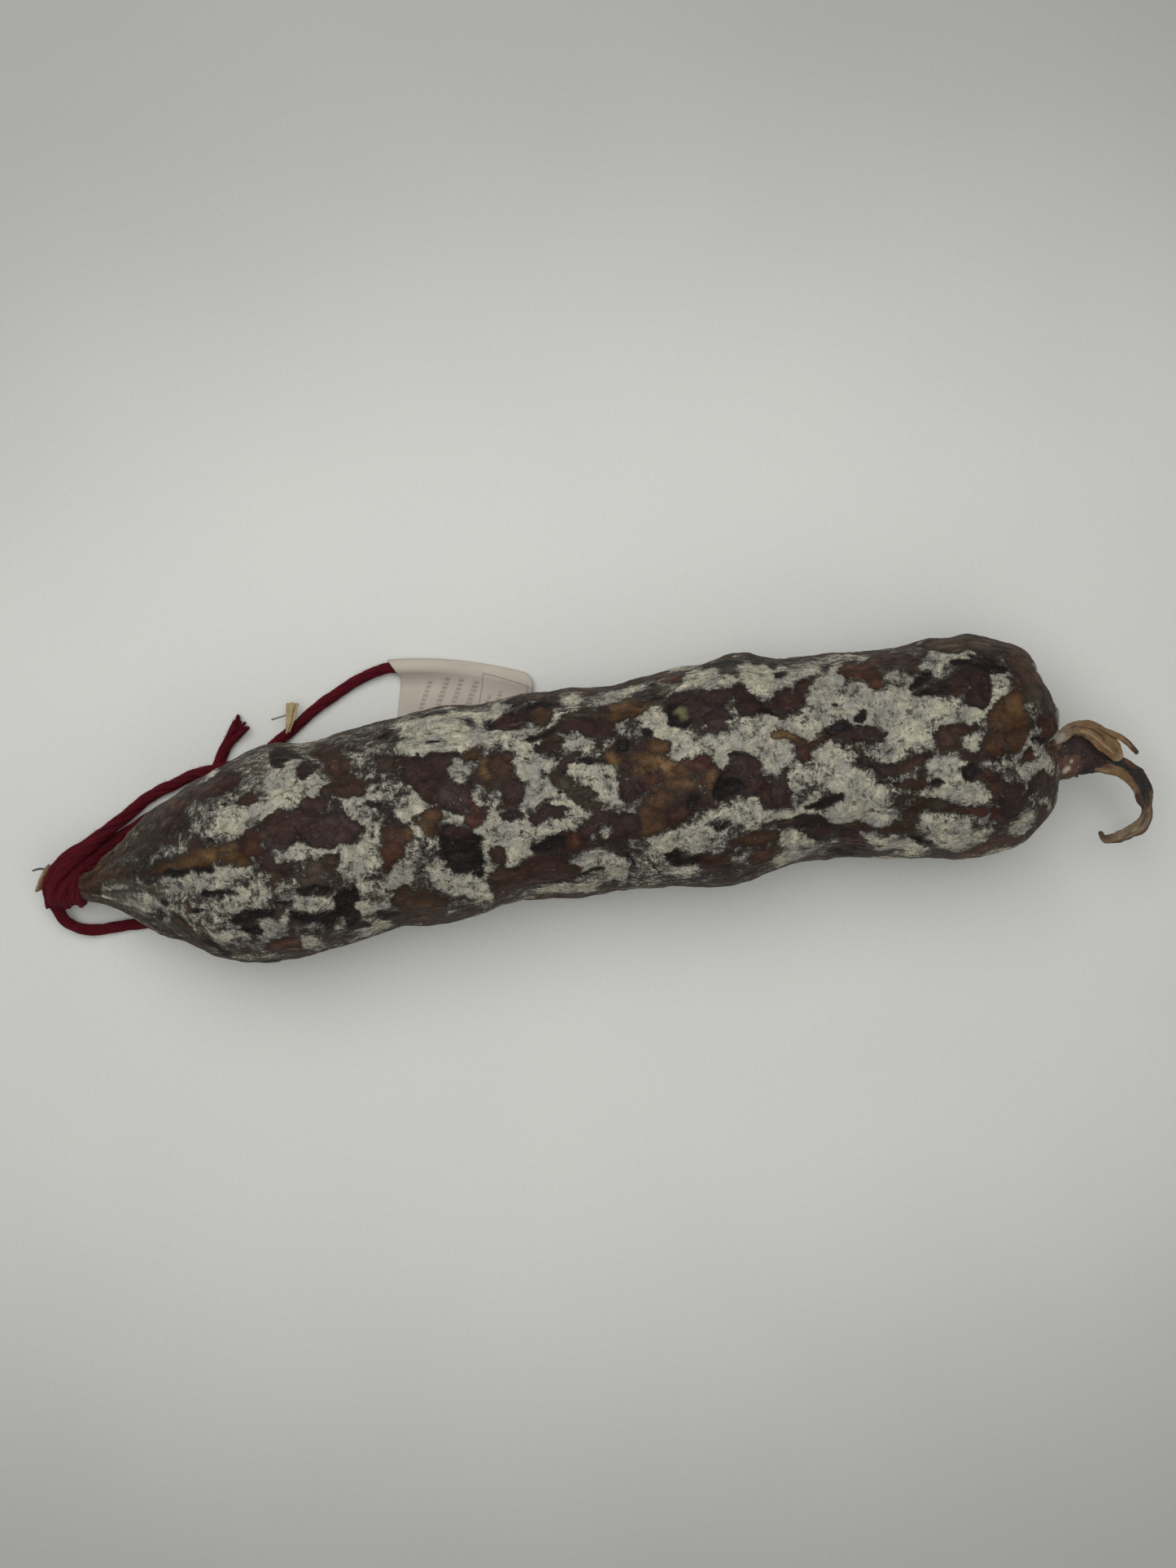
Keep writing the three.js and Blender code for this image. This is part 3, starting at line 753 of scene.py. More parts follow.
def makePaperMaterial():
    look = paperLook
    material, tree, shader = startMaterial("labelPaper")
    where = millimetrePlaces(tree)
    along, down = attribute(tree, "labelAlong"), attribute(tree, "labelDown")
    fibres = noise(tree, where, *look["fibres"])
    mottle = noise(tree, where, *look["mottle"])
    paper = mixColour(tree, mottle, srgb(*look["colour"]), srgb(*look["shade"]))
    paper = shaded(tree, paper, spread(tree, fibres, *look["fibreShades"]))

    # Distance from the rim of a slanted box on the paper, below 0 inside it.
    def boxDistance(centre, middle, halfAlong, halfDown, lean=0.0, tilt=0.0):
        x, y = minus(tree, along, centre), minus(tree, down, middle)
        x, y = minus(tree, x, times(tree, y, lean)), minus(tree, y, times(tree, x, tilt))
        x = minus(tree, calc(tree, "ABSOLUTE", x), halfAlong)
        y = minus(tree, calc(tree, "ABSOLUTE", y), halfDown)
        return larger(tree, x, y)

    rim = boxDistance(*look["frame"], look["frameLean"], look["frameTilt"])
    ink = spread(tree, calc(tree, "ABSOLUTE", rim), *look["frameLine"])
    waves = calc(tree, "SINE", times(tree, down, fullTurn / look["tickStep"]))
    ticks = spread(tree, waves, *look["tickShades"])
    for box in look["bars"]:
        bar = spread(tree, boxDistance(*box, look["barLean"]), *look["barEdge"])
        ink = larger(tree, ink, times(tree, bar, ticks))
    faded = spread(tree, noise(tree, where, *look["inkNoise"]), *look["inkFaded"])
    ink = times(tree, times(tree, ink, faded), look["inkAmount"])
    ink = times(tree, ink, attribute(tree, "labelSide"))
    tree.links.new(mixColour(tree, ink, paper, srgb(*look["ink"])), shader.inputs["Base Color"])
    setSockets(shader, {"Roughness": 0.82, "Specular IOR Level": 0.3})
    creases = times(tree, noise(tree, where, *look["creases"]), look["creaseShare"])
    bumped(tree, shader, plus(tree, creases, fibres), *look["bump"])
    return material


# The middle of the folded paper in section: away from the folded edge, and up.
def labelSection():
    settings = labelSettings
    steps, depth, radius = settings["steps"], settings["depth"], settings["foldRadius"]
    rest = settings["restHeight"]
    upper = rest + settings["thickness"] + settings["layerGap"]
    section = [(depth * (1 - i / steps), rest) for i in range(steps)]
    for i in range(steps + 1):
        angle = -math.pi / 2 - i / steps * settings["foldSweep"]
        section.append((radius * math.cos(angle), rest + radius + radius * math.sin(angle)))
    start, lift = section[-1][0], section[-1][1] - upper
    settleEnd = radius + settings["settleLength"]
    for i in range(1, steps + 1):
        share = i / steps
        section.append((lerp(start, settleEnd, share), upper + lift * (1 - share) ** 2))
    for i in range(1, 2 * steps + 1):
        section.append((lerp(settleEnd, depth, i / (2 * steps)), upper))
    return np.array(section)


# A strip of sheet whose ring of points runs out along one face and back along the other. The ends are
# closed across the thickness, so a folded section stays open inside.
def sheetSkin(name, rows, attributes, material):
    rowCount, columnCount = rows.shape[:2]
    index = np.arange(rowCount * columnCount).reshape(rowCount, columnCount)
    after = np.roll(index, -1, axis=1)
    quads = np.stack([index[:-1], index[1:], after[1:], after[:-1]], axis=-1).reshape(-1, 4).tolist()
    for i in range(columnCount // 2 - 1):
        j = columnCount - 1 - i
        quads.append([int(index[0, column]) for column in (i, i + 1, j - 1, j)])
        quads.append([int(index[-1, column]) for column in (j, j - 1, i + 1, i)])
    mesh = bpy.data.meshes.new(name)
    mesh.from_pydata((rows.reshape(-1, 3) * metre).tolist(), [], quads)
    for label, values in attributes.items():
        writeAttribute(mesh, label, values.reshape(rowCount * columnCount, -1))
    return finishPiece(name, mesh, material)


def makeLabel():
    settings = labelSettings
    section = labelSection()
    direction = unitRows(np.gradient(section, axis=0))
    outward = np.stack([-direction[:, 1], direction[:, 0]], axis=1) * (settings["thickness"] / 2)
    ring = np.concatenate([section + outward, (section - outward)[::-1]])
    travelled = wayAlong(section)
    foldMiddle = travelled[np.argmin(section[:, 0])]
    down = section[:, 0] + settings["foldRadius"]
    down = np.concatenate([down, down[::-1]])
    upperSide = (travelled > foldMiddle).astype(float)
    upperSide = np.concatenate([upperSide, upperSide * 0])

    # Both ends of the paper, then every point between them as seen from above.
    radius, mouth = settings["cornerRadius"], settings["mouthDepth"]
    intoCorner = np.clip(1 - down / radius, 0, 1)
    rounding = radius * (1 - np.sqrt(np.clip(1 - intoCorner**2, 0, 1)))
    farEnd = settings["length"] - settings["trim"] - rounding
    nearEnd = np.minimum(down, mouth) / mouth * settings["mouthSlant"]
    share = np.linspace(0, 1, settings["columns"])[:, None]
    along = nearEnd[None] + (farEnd - nearEnd)[None] * share
    turn = settings["turn"]
    edge = np.array([math.cos(turn), math.sin(turn)])
    away = np.array([math.sin(turn), -math.cos(turn)])
    flat = np.array(settings["corner"]) + along[..., None] * edge + ring[None, :, :1] * away
    flat[..., 1] += settings["bow"] * 4 * (along / settings["length"]) * (1 - along / settings["length"])

    # Heights: the fold is round at the string, flatter beyond it, and the paper is a little uneven.
    rest = settings["restHeight"]
    squash = 1 - settings["flattening"] * smoothStep(along, *settings["flattened"])
    height = rest + (ring[None, :, 1] - rest) * squash
    places = np.stack([flat[..., 0], flat[..., 1], 0 * height], axis=-1)
    wave = latticeNoise(places, settings["creaseSize"], settings["seed"], 2)
    uneven = settings["creaseHeight"] * smoothStep(down, *settings["creased"])[None]
    height = height + uneven * (wave + 1)
    piece = sheetSkin("label_paper", np.concatenate([flat, height[..., None]], axis=-1), {
        "labelAlong": along,
        "labelDown": np.broadcast_to(down, along.shape),
        "labelSide": np.broadcast_to(upperSide, along.shape),
    }, makePaperMaterial())
    fitPiece(piece, "label")
    return piece


# Body of the sausage: its outline from above and from the side, as places that smooth curves run through.
bodySettings = {
    "endX": 95.4,
    "capStartX": 75,
    "capPower": 2.9,
    "capRingShare": 0.2,
    "tipRate": 240,
    "rings": 430,
    "sides": 224,
    "crownCrowding": 0.3,
    "tipStart": 4,
    "tipEnd": 30,
    "sideShare": 0.35,
    "endRate": 1.5,
}
farEdge = [
    (-108, -2.2), (-104.9, -1.6), (-99.1, 2.2), (-93.4, 5.9), (-87.9, 9.2), (-82.4, 12.3), (-71.9, 16.7),
    (-61.7, 19.8), (-51.7, 19.2), (-38, 20.8), (-26.7, 22.4), (-16.7, 21.3), (-9, 22.3), (8, 21.9),
    (23, 22.9), (33.4, 24.1), (43.4, 22.5), (63, 21.3), (79, 21.6), (98, 20.5),
]
nearEdge = [
    (-108, -5.9), (-104.9, -7.2), (-99.1, -10.2), (-93.4, -13), (-87.9, -16.3), (-83.3, -18.9),
    (-77.1, -22.3), (-70, -24.1), (-61.7, -24.3), (-51.7, -23), (-39, -21), (-28, -21.6), (-16.7, -18.9),
    (-8, -19.8), (8, -20.1), (28.4, -21.5), (40, -19.7), (52, -19.6), (65, -22.1), (78.4, -23.1),
    (98, -21.5),
]
crest = [
    (-108, 11.4), (-105, 13.2), (-99, 18.2), (-93.4, 23.6), (-88, 28), (-77, 35.5), (-62, 39.8), (-42, 39),
    (-25, 40.4), (-10, 39.2), (10, 40), (30, 41), (48, 39.4), (70, 40.2), (98, 39.5),
]
belly = [
    (-108, 7.4), (-105, 7.8), (-99, 6.6), (-93.4, 5), (-88, 3.6), (-80, 1.2), (-72, -0.6), (-60, -0.9),
    (98, -0.9),
]
# Swellings and hollows of the casing: centre, reach along x, y and z, and rise.
swellings = [
    ((-96, -3, 22), (14, 1.8, 9), 0.9), ((-84, -7, 29), (9, 1.8, 9), -1.1), ((-58, 2, 39), (11, 8, 9), 0.9),
    ((-50.5, -15, 34), (2.6, 5, 8), -1.9), ((-62, -17, 32), (8, 2.2, 7), -0.9),
    ((-49, 14, 35), (2.4, 5, 9), -0.8), ((-44, -3, 38), (2.2, 8, 9), -0.8),
    ((-37, -15, 34), (6, 4, 8), 0.8), ((-24, -7, 39), (5, 5, 9), -1.2), ((-24, 5, 40), (7, 6, 9), 0.8),
    ((-20, 17, 33), (14, 1.8, 6), -0.9), ((-6, 9, 38), (9, 2, 8), -0.9), ((4, -12, 35), (9, 1.8, 8), -1),
    ((8, 4, 40), (2.2, 7, 9), -1), ((17, 1, 41), (6, 7, 9), 1), ((28.5, -1.5, 41), (3, 6, 9), -1.4),
    ((27, 14, 37), (6, 5, 8), 0.9), ((37, 4, 40), (3, 9, 9), -0.7), ((36, -12, 35), (8, 2, 8), -0.8),
    ((54, 0, 39), (1.6, 8, 8), -1.1), ((60, -12, 35), (10, 1.8, 7), -0.9), ((66, 7, 40), (8, 7, 9), 0.7),
    ((75, -1, 39), (3, 4, 9), -0.8), ((81, 10, 36), (3, 5, 9), -0.9), ((84, -4.6, 38), (8, 1.7, 8), -1.3),
    ((93, -3.2, 31), (3, 2, 6), -2.4), ((97, -4.5, 25), (4, 2.6, 8), -2),
    ((90, -19, 28), (6, 1.8, 7), -0.8), ((91, 15, 20), (6, 5, 12), 1), ((89, -18, 19), (6, 5, 12), 1.2),
]
# Waves over the skin: height, rate along, rate round, phase, and the share of the two slow waves in it.
slowWaves = [(1.5, 0.07, 1, 0), (1.3, 0.11, -2, 0.8)]
ripples = [
    (0.275, 0.07, 5, 1.5, 1, 0), (0.275, 0.27, -1, 0.7, 1, 0), (0.34, 0.27, -4, 0.6, 0, 1),
    (0.24, 0.45, 5, 2.2, 1, -1),
]

# What the skin can look like: colour, gloss and how far it stands out. Codes are those of the patches.
skinKinds = {
    "b": ((58, 41, 31), 0.5, 0.3),
    "o": ((60, 49, 40), 0.45, 0.2),
    "r": ((48, 31, 26), 0.6, 0.6),
    "p": ((45, 31, 29), 0.6, 0.5),
    "R": ((66, 40, 29), 0.55, 0.5),
    "D": ((50, 29, 22), 0.6, 0.4),
    # k: dark meat sunk in hollows, painted near-black: its own dark colour with painted shade of the
    # hollow.
    "k": ((22, 18, 17), 0.55, -1.0),
    "a": ((76, 54, 32), 0.6, 0.8),
    "d": ((64, 44, 28), 0.6, 0.6),
    "A": ((98, 74, 46), 0.6, 0.9),
    "Y": ((112, 106, 74), 0.5, 0.6),
    # t: pale tan lines, painted highlights along ridges of the cone.
    "t": ((140, 120, 92), 0.4, 0.8),
}
mouldAmounts = {"M": 0.85, "m": 0.2, "f": -0.15}
bareMould = -0.9

# Patches seen from above, in the order in which they cover each other. M is full mould, m thin mould and f
# the faintest film of it. Numbers: x, y, half length, half width and turn in degrees.
patches = [
    # cone; its t marks are painted highlights along the ridges
    ("d", -98, -2.5, 6.5, 0.8, -3), ("b", -97, 0.6, 6, 1.2, 22), ("t", -101.5, -2.8, 2, 0.3, -10),
    ("d", -88, -2.7, 6, 1.0, -2), ("m", -95, -5.6, 6, 1.3, -25), ("m", -92, -9, 6, 1.2, -30),
    ("m", -99.5, -4.6, 3, 0.8, -20), ("m", -84, -8.5, 6, 3, -32), ("m", -86, -12.5, 6, 1.5, -30),
    ("b", -102.2, -4, 3, 2.5, 0), ("m", -93.8, 3.7, 2.9, 0.3, 30), ("f", -93.5, 0.2, 1.6, 0.25, 25),
    ("f", -92.2, 2.7, 1.2, 0.8, 0), ("f", -87.2, 6.2, 0.6, 1.6, 0), ("m", -82.2, 11.6, 2.5, 0.7, 28),
    ("b", -81.3, 10.2, 3.2, 1.3, 15), ("p", -83.4, 6.8, 3.6, 2.3, 10), ("r", -73, 12.7, 5.5, 2.6, 15),
    ("M", -75.2, 15.1, 1.3, 0.25, 25), ("m", -74.2, 6, 5.8, 3.6, 0), ("M", -71.3, 4.3, 3.5, 1.8, 0),
    ("M", -64, 8, 6, 2.2, 15), ("m", -63.8, 12.7, 4.5, 3.5, 0), ("M", -60.9, 11.4, 3, 3, 0),
    ("m", -64, 16.8, 5, 1.6, 10), ("k", -59.7, 16.4, 2.2, 2, 0), ("b", -67.6, 8.7, 2.3, 1.2, 5),
    ("k", -71.5, 8.3, 0.8, 0.6, 0), ("k", -76.1, 2, 0.7, 0.5, 0), ("m", -84.7, 0.6, 3.5, 0.9, 10),
    ("m", -81.3, 2.7, 2.2, 0.9, 35), ("a", -80.5, -1.9, 6.5, 1.7, 8), ("A", -76.3, -1.1, 3.2, 1.6, 0),
    ("a", -72.2, -1.5, 4, 2, 0), ("a", -70.9, -3.6, 2, 1.8, -40), ("A", -72.2, 0.4, 3.5, 1, 5),
    ("k", -80.5, -3.8, 5.5, 1.1, -5), ("b", -91.3, -2.8, 4.5, 1.3, -25), ("t", -88.2, -6, 2.6, 0.25, -15),
    ("f", -92, -8.5, 7.5, 2.7, -30), ("r", -65.5, 0.6, 5.5, 4, 0), ("r", -59.7, 3.1, 6, 3.6, 0),
    ("p", -62.2, -3.6, 6, 3.5, 0), ("R", -68.4, -0.7, 2.5, 2.2, 0), ("p", -52, 0.5, 6.5, 4.2, 0),
    ("r", -55, 6.5, 3.5, 1.6, 0), ("m", -63.4, -4, 0.8, 1.5, 0), ("M", -59.7, -3.6, 1.6, 1.4, 0),
    ("m", -67.2, -6.5, 1.8, 0.8, -20), ("m", -61.8, -9.8, 1.8, 0.7, 15), ("M", -73.8, -5.5, 3, 1.8, -30),
    ("M", -69.5, -8, 3.5, 1.2, -40), ("M", -80.5, -5.7, 4, 1.3, -5), ("m", -72.2, -7.3, 5, 0.9, -10),
    ("M", -76.3, -7.3, 3, 0.6, 0), ("k", -75.9, -9.2, 4.2, 1, -5), ("M", -70, -11.1, 6, 1, -3),
    ("m", -81.3, -9.8, 3.5, 1.5, -30), ("k", -78.8, -11.7, 2.6, 0.7, -10), ("M", -74.2, -12.7, 4, 0.8, -8),
    ("m", -76.3, -15.7, 3.6, 2.2, -25), ("M", -75.5, -17.7, 3, 1.2, 0), ("m", -70.9, -19.6, 4.5, 1, -5),
    ("k", -70, -14.6, 4.6, 1.5, 3), ("k", -70, -17.1, 3.2, 0.9, -5), ("M", -66.3, -17.7, 2, 1.4, -30),
    ("M", -64.2, -16.5, 1.6, 0.3, 45), ("k", -62.6, -13.2, 4, 1, -15), ("k", -60, -15.2, 2.5, 1.8, 0),
    ("m", -62.5, -12.2, 5, 0.6, -12), ("R", -63.4, -21.5, 5.5, 1.4, -3), ("M", -59.3, -21.3, 1, 1, 0),
    ("m", -76.3, -21.5, 5.5, 1, -20), ("m", -70, -23.2, 4, 0.6, -8), ("k", -80.5, -18.6, 7, 0.7, -30),
    ("m", -88, -9.5, 6, 2.2, -38), ("m", -86.7, -12, 5, 1.3, -38), ("b", -84.3, -14, 3.4, 1, -40),
    ("k", -89.2, -11.9, 1.6, 0.8, -30), ("k", -87.6, -9.4, 0.9, 0.6, 0),
    # first part of the body
    ("o", -46.5, 18.5, 6, 1.2, -5), ("o", -41, 16.8, 5, 0.8, -25), ("k", -36.9, 17, 3.4, 1.1, -15),
    ("m", -36, 21, 4, 0.6, 10), ("k", -26.5, 21.4, 5.2, 0.8, 3), ("k", -21.5, 19.7, 2.6, 1, -25),
    ("M", -29.2, 18.2, 6, 1.8, 5), ("M", -21.5, 15.5, 6.5, 2, -3), ("M", -27.3, 15, 6, 1.4, 0),
    ("M", -13.8, 13.9, 6, 1.6, -8), ("M", -33, 14.3, 3, 1.2, 0), ("k", -28.3, 15.3, 1.4, 0.25, -3),
    ("k", -31.5, 13.4, 1.2, 0.35, 10), ("M", -57, 14.3, 2, 1.5, 0), ("M", -56.2, 10, 4.4, 2.4, 15),
    ("M", -58.8, 7.8, 3, 1.6, 20), ("k", -57.7, 16.7, 3.2, 1.1, -8), ("p", -55.2, 13.6, 2.2, 1.6, 35),
    ("m", -53.5, 15.3, 3, 0.45, -50), ("b", -48.5, 13.5, 3.2, 2.4, -35), ("b", -50.4, 15.5, 2.4, 1, -20),
    ("b", -46.5, 12.8, 1.5, 2.5, 30), ("d", -44.6, 9.3, 2.6, 1.6, -20), ("b", -46.5, 8.2, 3.4, 1.6, 0),
    ("b", -51.5, 8.5, 1.4, 1.7, 0), ("m", -43.5, 12.8, 2.5, 3.5, 40), ("m", -41.9, 8.9, 2, 3, 50),
    ("o", -38.5, 12, 2.5, 1.8, 0), ("r", -35.4, 12, 2.6, 1.2, 0), ("m", -36.9, 7, 5.2, 3.2, -15),
    ("M", -35.4, 3.5, 3.4, 2.2, -20), ("m", -38.5, 5, 3, 2, 0), ("M", -44.6, 5.5, 3, 0.9, -5),
    ("M", -45.4, 2.4, 2.8, 1.1, -30), ("m", -42.7, 2.8, 2.2, 1.6, 0), ("k", -42.7, 4.3, 1.8, 0.8, -25),
    ("M", -47.5, 5.5, 0.8, 0.7, 0), ("b", -40, -2.6, 3.9, 3.2, -10), ("R", -40.8, -5.7, 3.3, 2.6, 40),
    ("a", -33.8, -2.2, 3.6, 2.4, 15), ("a", -30.8, 0.1, 1.8, 1.9, 0), ("b", -41.5, 0.1, 2.2, 0.9, 0),
    ("M", -33.4, -2.6, 1.6, 0.15, -55), ("b", -44.2, -10.5, 4.2, 1, 3), ("M", -46.5, -6.5, 3.6, 3.2, 0),
    ("M", -50.4, -4.2, 1.8, 0.7, 10), ("M", -43.8, -2.6, 1.2, 2.8, -30), ("M", -48.5, -9.5, 2, 1, 0),
    ("o", -56.2, -7.6, 4.8, 3, 0), ("k", -57, -11, 4, 1.2, 0), ("b", -52.3, -6.5, 1.8, 1.6, 0),
    ("m", -59.2, -5, 1, 2, 0), ("M", -55, -3.8, 1.4, 0.9, 0), ("M", -58.5, -2.6, 1.4, 0.8, 0),
    ("M", -56.2, -13.8, 5, 0.8, 5), ("m", -51.5, -10.7, 1.6, 0.6, 35), ("M", -44.6, -13.8, 4, 3, -10),
    ("M", -47.3, -15.7, 2, 2, 0), ("M", -45.4, -19.9, 3, 1.2, 10), ("m", -42.7, -13, 3, 2, 0),
    ("M", -38.5, -11, 3, 1.6, 0), ("k", -50.8, -16, 2.2, 4, 10), ("k", -49.2, -13.4, 1.5, 1.3, 0),
    ("k", -48.5, -19.5, 2.6, 0.9, 0), ("k", -56.2, -17.2, 4.5, 2.2, 10), ("m", -58.1, -18.4, 2, 0.5, 15),
    ("M", -58.5, -21.9, 1.5, 1.2, 0), ("m", -53.1, -19.9, 1.5, 0.5, 45), ("b", -37.7, -15.3, 3.6, 2.4, -10),
    ("b", -35, -17.6, 5, 2.2, -8), ("d", -34.6, -17.6, 2.6, 1.5, 0), ("k", -42.3, -18, 2.4, 0.8, -15),
    ("R", -33, -20.7, 8, 0.6, 0), ("M", -31.5, -10.7, 4, 2.2, -25), ("M", -27.3, -14.2, 4.5, 2.2, -20),
    ("M", -23.5, -16, 2.6, 2.2, 0), ("m", -34.6, -6.8, 3, 2, 50), ("m", -35.4, -12.2, 1.4, 2.6, 0),
    ("m", -25.4, -18.4, 2.5, 0.9, 0), ("k", -25.8, -6.8, 4.4, 5, 10), ("p", -26.2, -3, 3, 2, 0),
    ("k", -23.1, -11, 1.6, 2, 0), ("M", -20.8, -8.8, 0.35, 3.4, 0), ("M", -21.3, -12.2, 0.8, 1.2, 0),
    ("r", -28.1, 7.4, 5.5, 5, -20), ("p", -26.5, 10.1, 5, 3.2, -10), ("r", -32.3, 9.7, 3.6, 3, 0),
    ("p", -25.4, 4.3, 4.5, 4.5, 0), ("r", -31.5, 5.8, 2, 2.2, 0), ("R", -22.3, -1, 3, 2.4, 20),
    ("R", -21.5, 2, 2, 3.5, 0), ("R", -19.2, 1.2, 1.2, 1.6, 0), ("M", -23.7, 8.9, 2.2, 2.2, -40),
    ("M", -27, -0.5, 1.2, 0.4, -30), ("M", -21.2, 2.8, 0.5, 1.6, 15), ("M", -25.4, -1.2, 1, 0.5, 0),
    ("a", -21.5, 11.6, 2.6, 0.8, -5), ("A", -18.7, 8.5, 1.8, 2.6, 0), ("b", -15.8, 8.5, 3, 2.6, 0),
    ("b", -13.1, 9.7, 2.6, 1.4, -10), ("b", -17.7, 5.1, 1.5, 1, 0), ("p", -13.8, 3.5, 3.2, 2.6, 0),
    ("p", -10.4, 4.3, 1, 1, 0), ("d", -8.8, 3.9, 1.6, 1.4, 0), ("m", -17.7, 2, 1.4, 1.6, 0),
    ("M", -17.3, -3.8, 3.6, 2.6, 20), ("M", -13.8, -4.2, 2.5, 1.5, 0), ("M", -14.6, -9.5, 3, 1.4, 15),
    ("M", -20.8, -4.2, 1.6, 1, 0), ("M", -16.9, -6.8, 2.5, 1.4, 0), ("p", -14.6, -1.5, 2.2, 1.6, 0),
    ("b", -18.8, -9.2, 1.5, 2, 0), ("b", -18.5, -13.4, 3, 2, 0), ("D", -11.9, -13.8, 5, 2.6, 0),
    ("b", -15.8, -15.7, 5, 1.2, 3), ("m", -11.9, -18.4, 5, 0.9, -8), ("k", -12.6, -18.6, 1.2, 0.6, 0),
    ("b", -23.5, -20.3, 4, 0.8, 10), ("M", -10, 7.4, 2, 2, 0), ("m", -9.2, -2.6, 2, 1.5, 0),
    ("k", -10.4, 21, 3.6, 1.2, 0), ("r", -13.8, 17.4, 3.6, 1.8, -10), ("k", -16.5, 17.8, 1.4, 1.6, 0),
    ("M", -15.4, 20, 2, 1.2, 0), ("M", -18.6, 19, 1, 2, 30),
    # middle of the body
    ("o", -7, 20.8, 6, 0.8, -5), ("R", 4.2, 21.2, 4, 0.8, -8), ("d", 5.3, 19.8, 2.6, 0.7, -12),
    ("M", 1.1, 19.2, 3, 0.9, -15), ("m", 7.2, 18.5, 4, 0.8, 12), ("M", 11.1, 20, 3, 1, 20),
    ("M", -2.8, 16.9, 2.6, 0.8, 30), ("m", 1.5, 17.3, 3, 0.7, -10), ("d", -6.2, 17.3, 2.6, 1.9, 0),
    ("p", -10.5, 17.3, 2, 2, 0), ("k", -6.2, 19.2, 4, 0.7, 0), ("o", 1.5, 16, 4, 1, -5),
    ("M", -9.7, 14.6, 2.6, 0.9, 15), ("M", -9.7, 11.5, 3.6, 1.2, 0), ("k", -6.6, 13.7, 3.6, 0.9, 10),
    ("r", 1.1, 13.5, 4.6, 2, -8), ("r", 6.5, 13.1, 2.4, 2.4, 0), ("r", -4.3, 10.8, 2.6, 1.6, 0),
    ("k", -7.4, 10.8, 0.4, 1.6, 0), ("M", 0.3, 10.4, 3, 1.3, -15), ("M", -8.2, 7.3, 3.6, 2, 0),
    ("M", -11.2, 8.5, 2, 1.5, 0), ("a", 11.1, 15.8, 4.4, 2, 0), ("A", 9.9, 16.9, 2, 1, 0),
    ("d", 15.7, 16.7, 2.2, 0.9, 0), ("d", 12.6, 14.2, 2.8, 1.2, 0), ("b", 7.2, 16.5, 1.6, 0.9, 0),
    ("k", 16.5, 18.8, 3.4, 1, 0), ("k", 14.9, 20.4, 3.5, 0.5, 5), ("m", 11.1, 11.9, 3.2, 1.2, 0),
    ("M", 16.5, 13.1, 2.6, 2.6, -40), ("M", 18.8, 11.5, 2.5, 2.5, 0), ("M", 20.7, 8.5, 3, 2, 0),
    ("p", 12.6, 8.5, 4, 1, 0), ("k", 9.5, 9.2, 1.6, 1.6, 0), ("k", 14.9, 10.8, 1.3, 1, 0),
    ("a", 16.5, 7.7, 2.8, 1.8, 0), ("a", 14.9, 5, 4, 2, -15), ("A", 17.2, 3.8, 3.4, 2.2, -25),
    ("a", 19.9, 2.3, 2.4, 1.4, -25), ("A", 11.8, 3.5, 1.3, 1.1, 0), ("A", 6.8, 6.2, 1.8, 2.9, 25),
    ("r", 9.5, 5.4, 1.2, 2.6, 10), ("R", 14.2, 1.5, 3, 1.6, 0), ("p", 11.1, 0, 1.5, 2, 0),
    ("a", 18, -0.8, 4.6, 1.4, 15), ("d", 14.9, -3.1, 3.6, 2.2, 30), ("d", 12.6, -6.5, 3.2, 3.4, 20),
    ("A", 21.8, -0.8, 2, 1, 0), ("D", 18.8, -6.2, 3.4, 2.6, 35), ("k", 21.8, -3.8, 2.2, 1.6, 30),
    ("A", 26.5, -0.4, 1.2, 2.4, 10), ("R", 23.8, 3.5, 4, 1.8, -8), ("R", 26.5, 3.8, 2, 1.2, 0),
    ("p", 31.5, -1.9, 5, 3.2, 0), ("k", 29.5, -2.7, 3.2, 2, 0), ("p", 34.2, 0.8, 3.6, 3.4, 0),
    ("r", 34.9, -2.7, 3, 2.4, 0), ("r", 38, -5.4, 3, 2.6, -30), ("M", 3.4, 3.8, 3.6, 2.6, -25),
    ("M", 0.7, 5.4, 2.8, 1.2, 0), ("M", 5.3, 0.8, 3, 1.8, -20), ("M", 7.2, -2.3, 1.2, 1, 0),
    ("k", 1.5, 7.1, 2.4, 0.7, 5), ("k", -2.8, 6, 1.2, 0.5, 0), ("o", -3.2, 3.5, 2, 2.6, 0),
    ("o", -0.5, 0.4, 3.4, 1.2, 0), ("o", 1.5, -1.5, 3, 1, 0), ("m", -1.6, 1.9, 1.4, 1, 0),
    ("b", -6.2, 4.6, 2.6, 1, 20), ("M", -8.9, 2.3, 3.2, 2, 10), ("m", -6.2, 0, 3, 1.4, -35),
    ("M", -4.8, 1.2, 2.2, 0.25, -50), ("k", -4.3, -0.4, 0.9, 0.9, 0), ("k", -3.7, 1.5, 1, 0.7, 0),
    ("M", -4.7, -1.3, 1.3, 0.5, 20), ("r", 9, -0.8, 1.7, 2.2, 15), ("p", -7.4, -2.7, 4.5, 1.6, 5),
    ("M", -7.4, -5.4, 4.2, 1, 10), ("M", -1.2, -4, 3.2, 1.1, 5), ("m", 3.4, -4.2, 2.4, 0.5, -5),
    ("m", 9.2, -4, 1.8, 0.8, 0), ("p", 4.5, -6.9, 7, 3.2, 0), ("r", -4.3, -8.5, 4, 2, -10),
    ("k", -8.2, -8.5, 3.4, 1.6, 0), ("R", -3.2, -8.5, 1.6, 2, 0), ("m", 1.1, -8.7, 0.8, 0.9, 0),
    ("m", 4.3, -7.3, 0.3, 0.6, 0), ("r", -8.2, -14.2, 5, 3, 0), ("M", 1.1, -13.5, 4.8, 1.9, -6),
    ("M", 5.3, -16.2, 2.6, 2, 0), ("m", -0.5, -16.2, 3, 1.6, 0), ("k", -0.5, -15, 3, 0.5, 5),
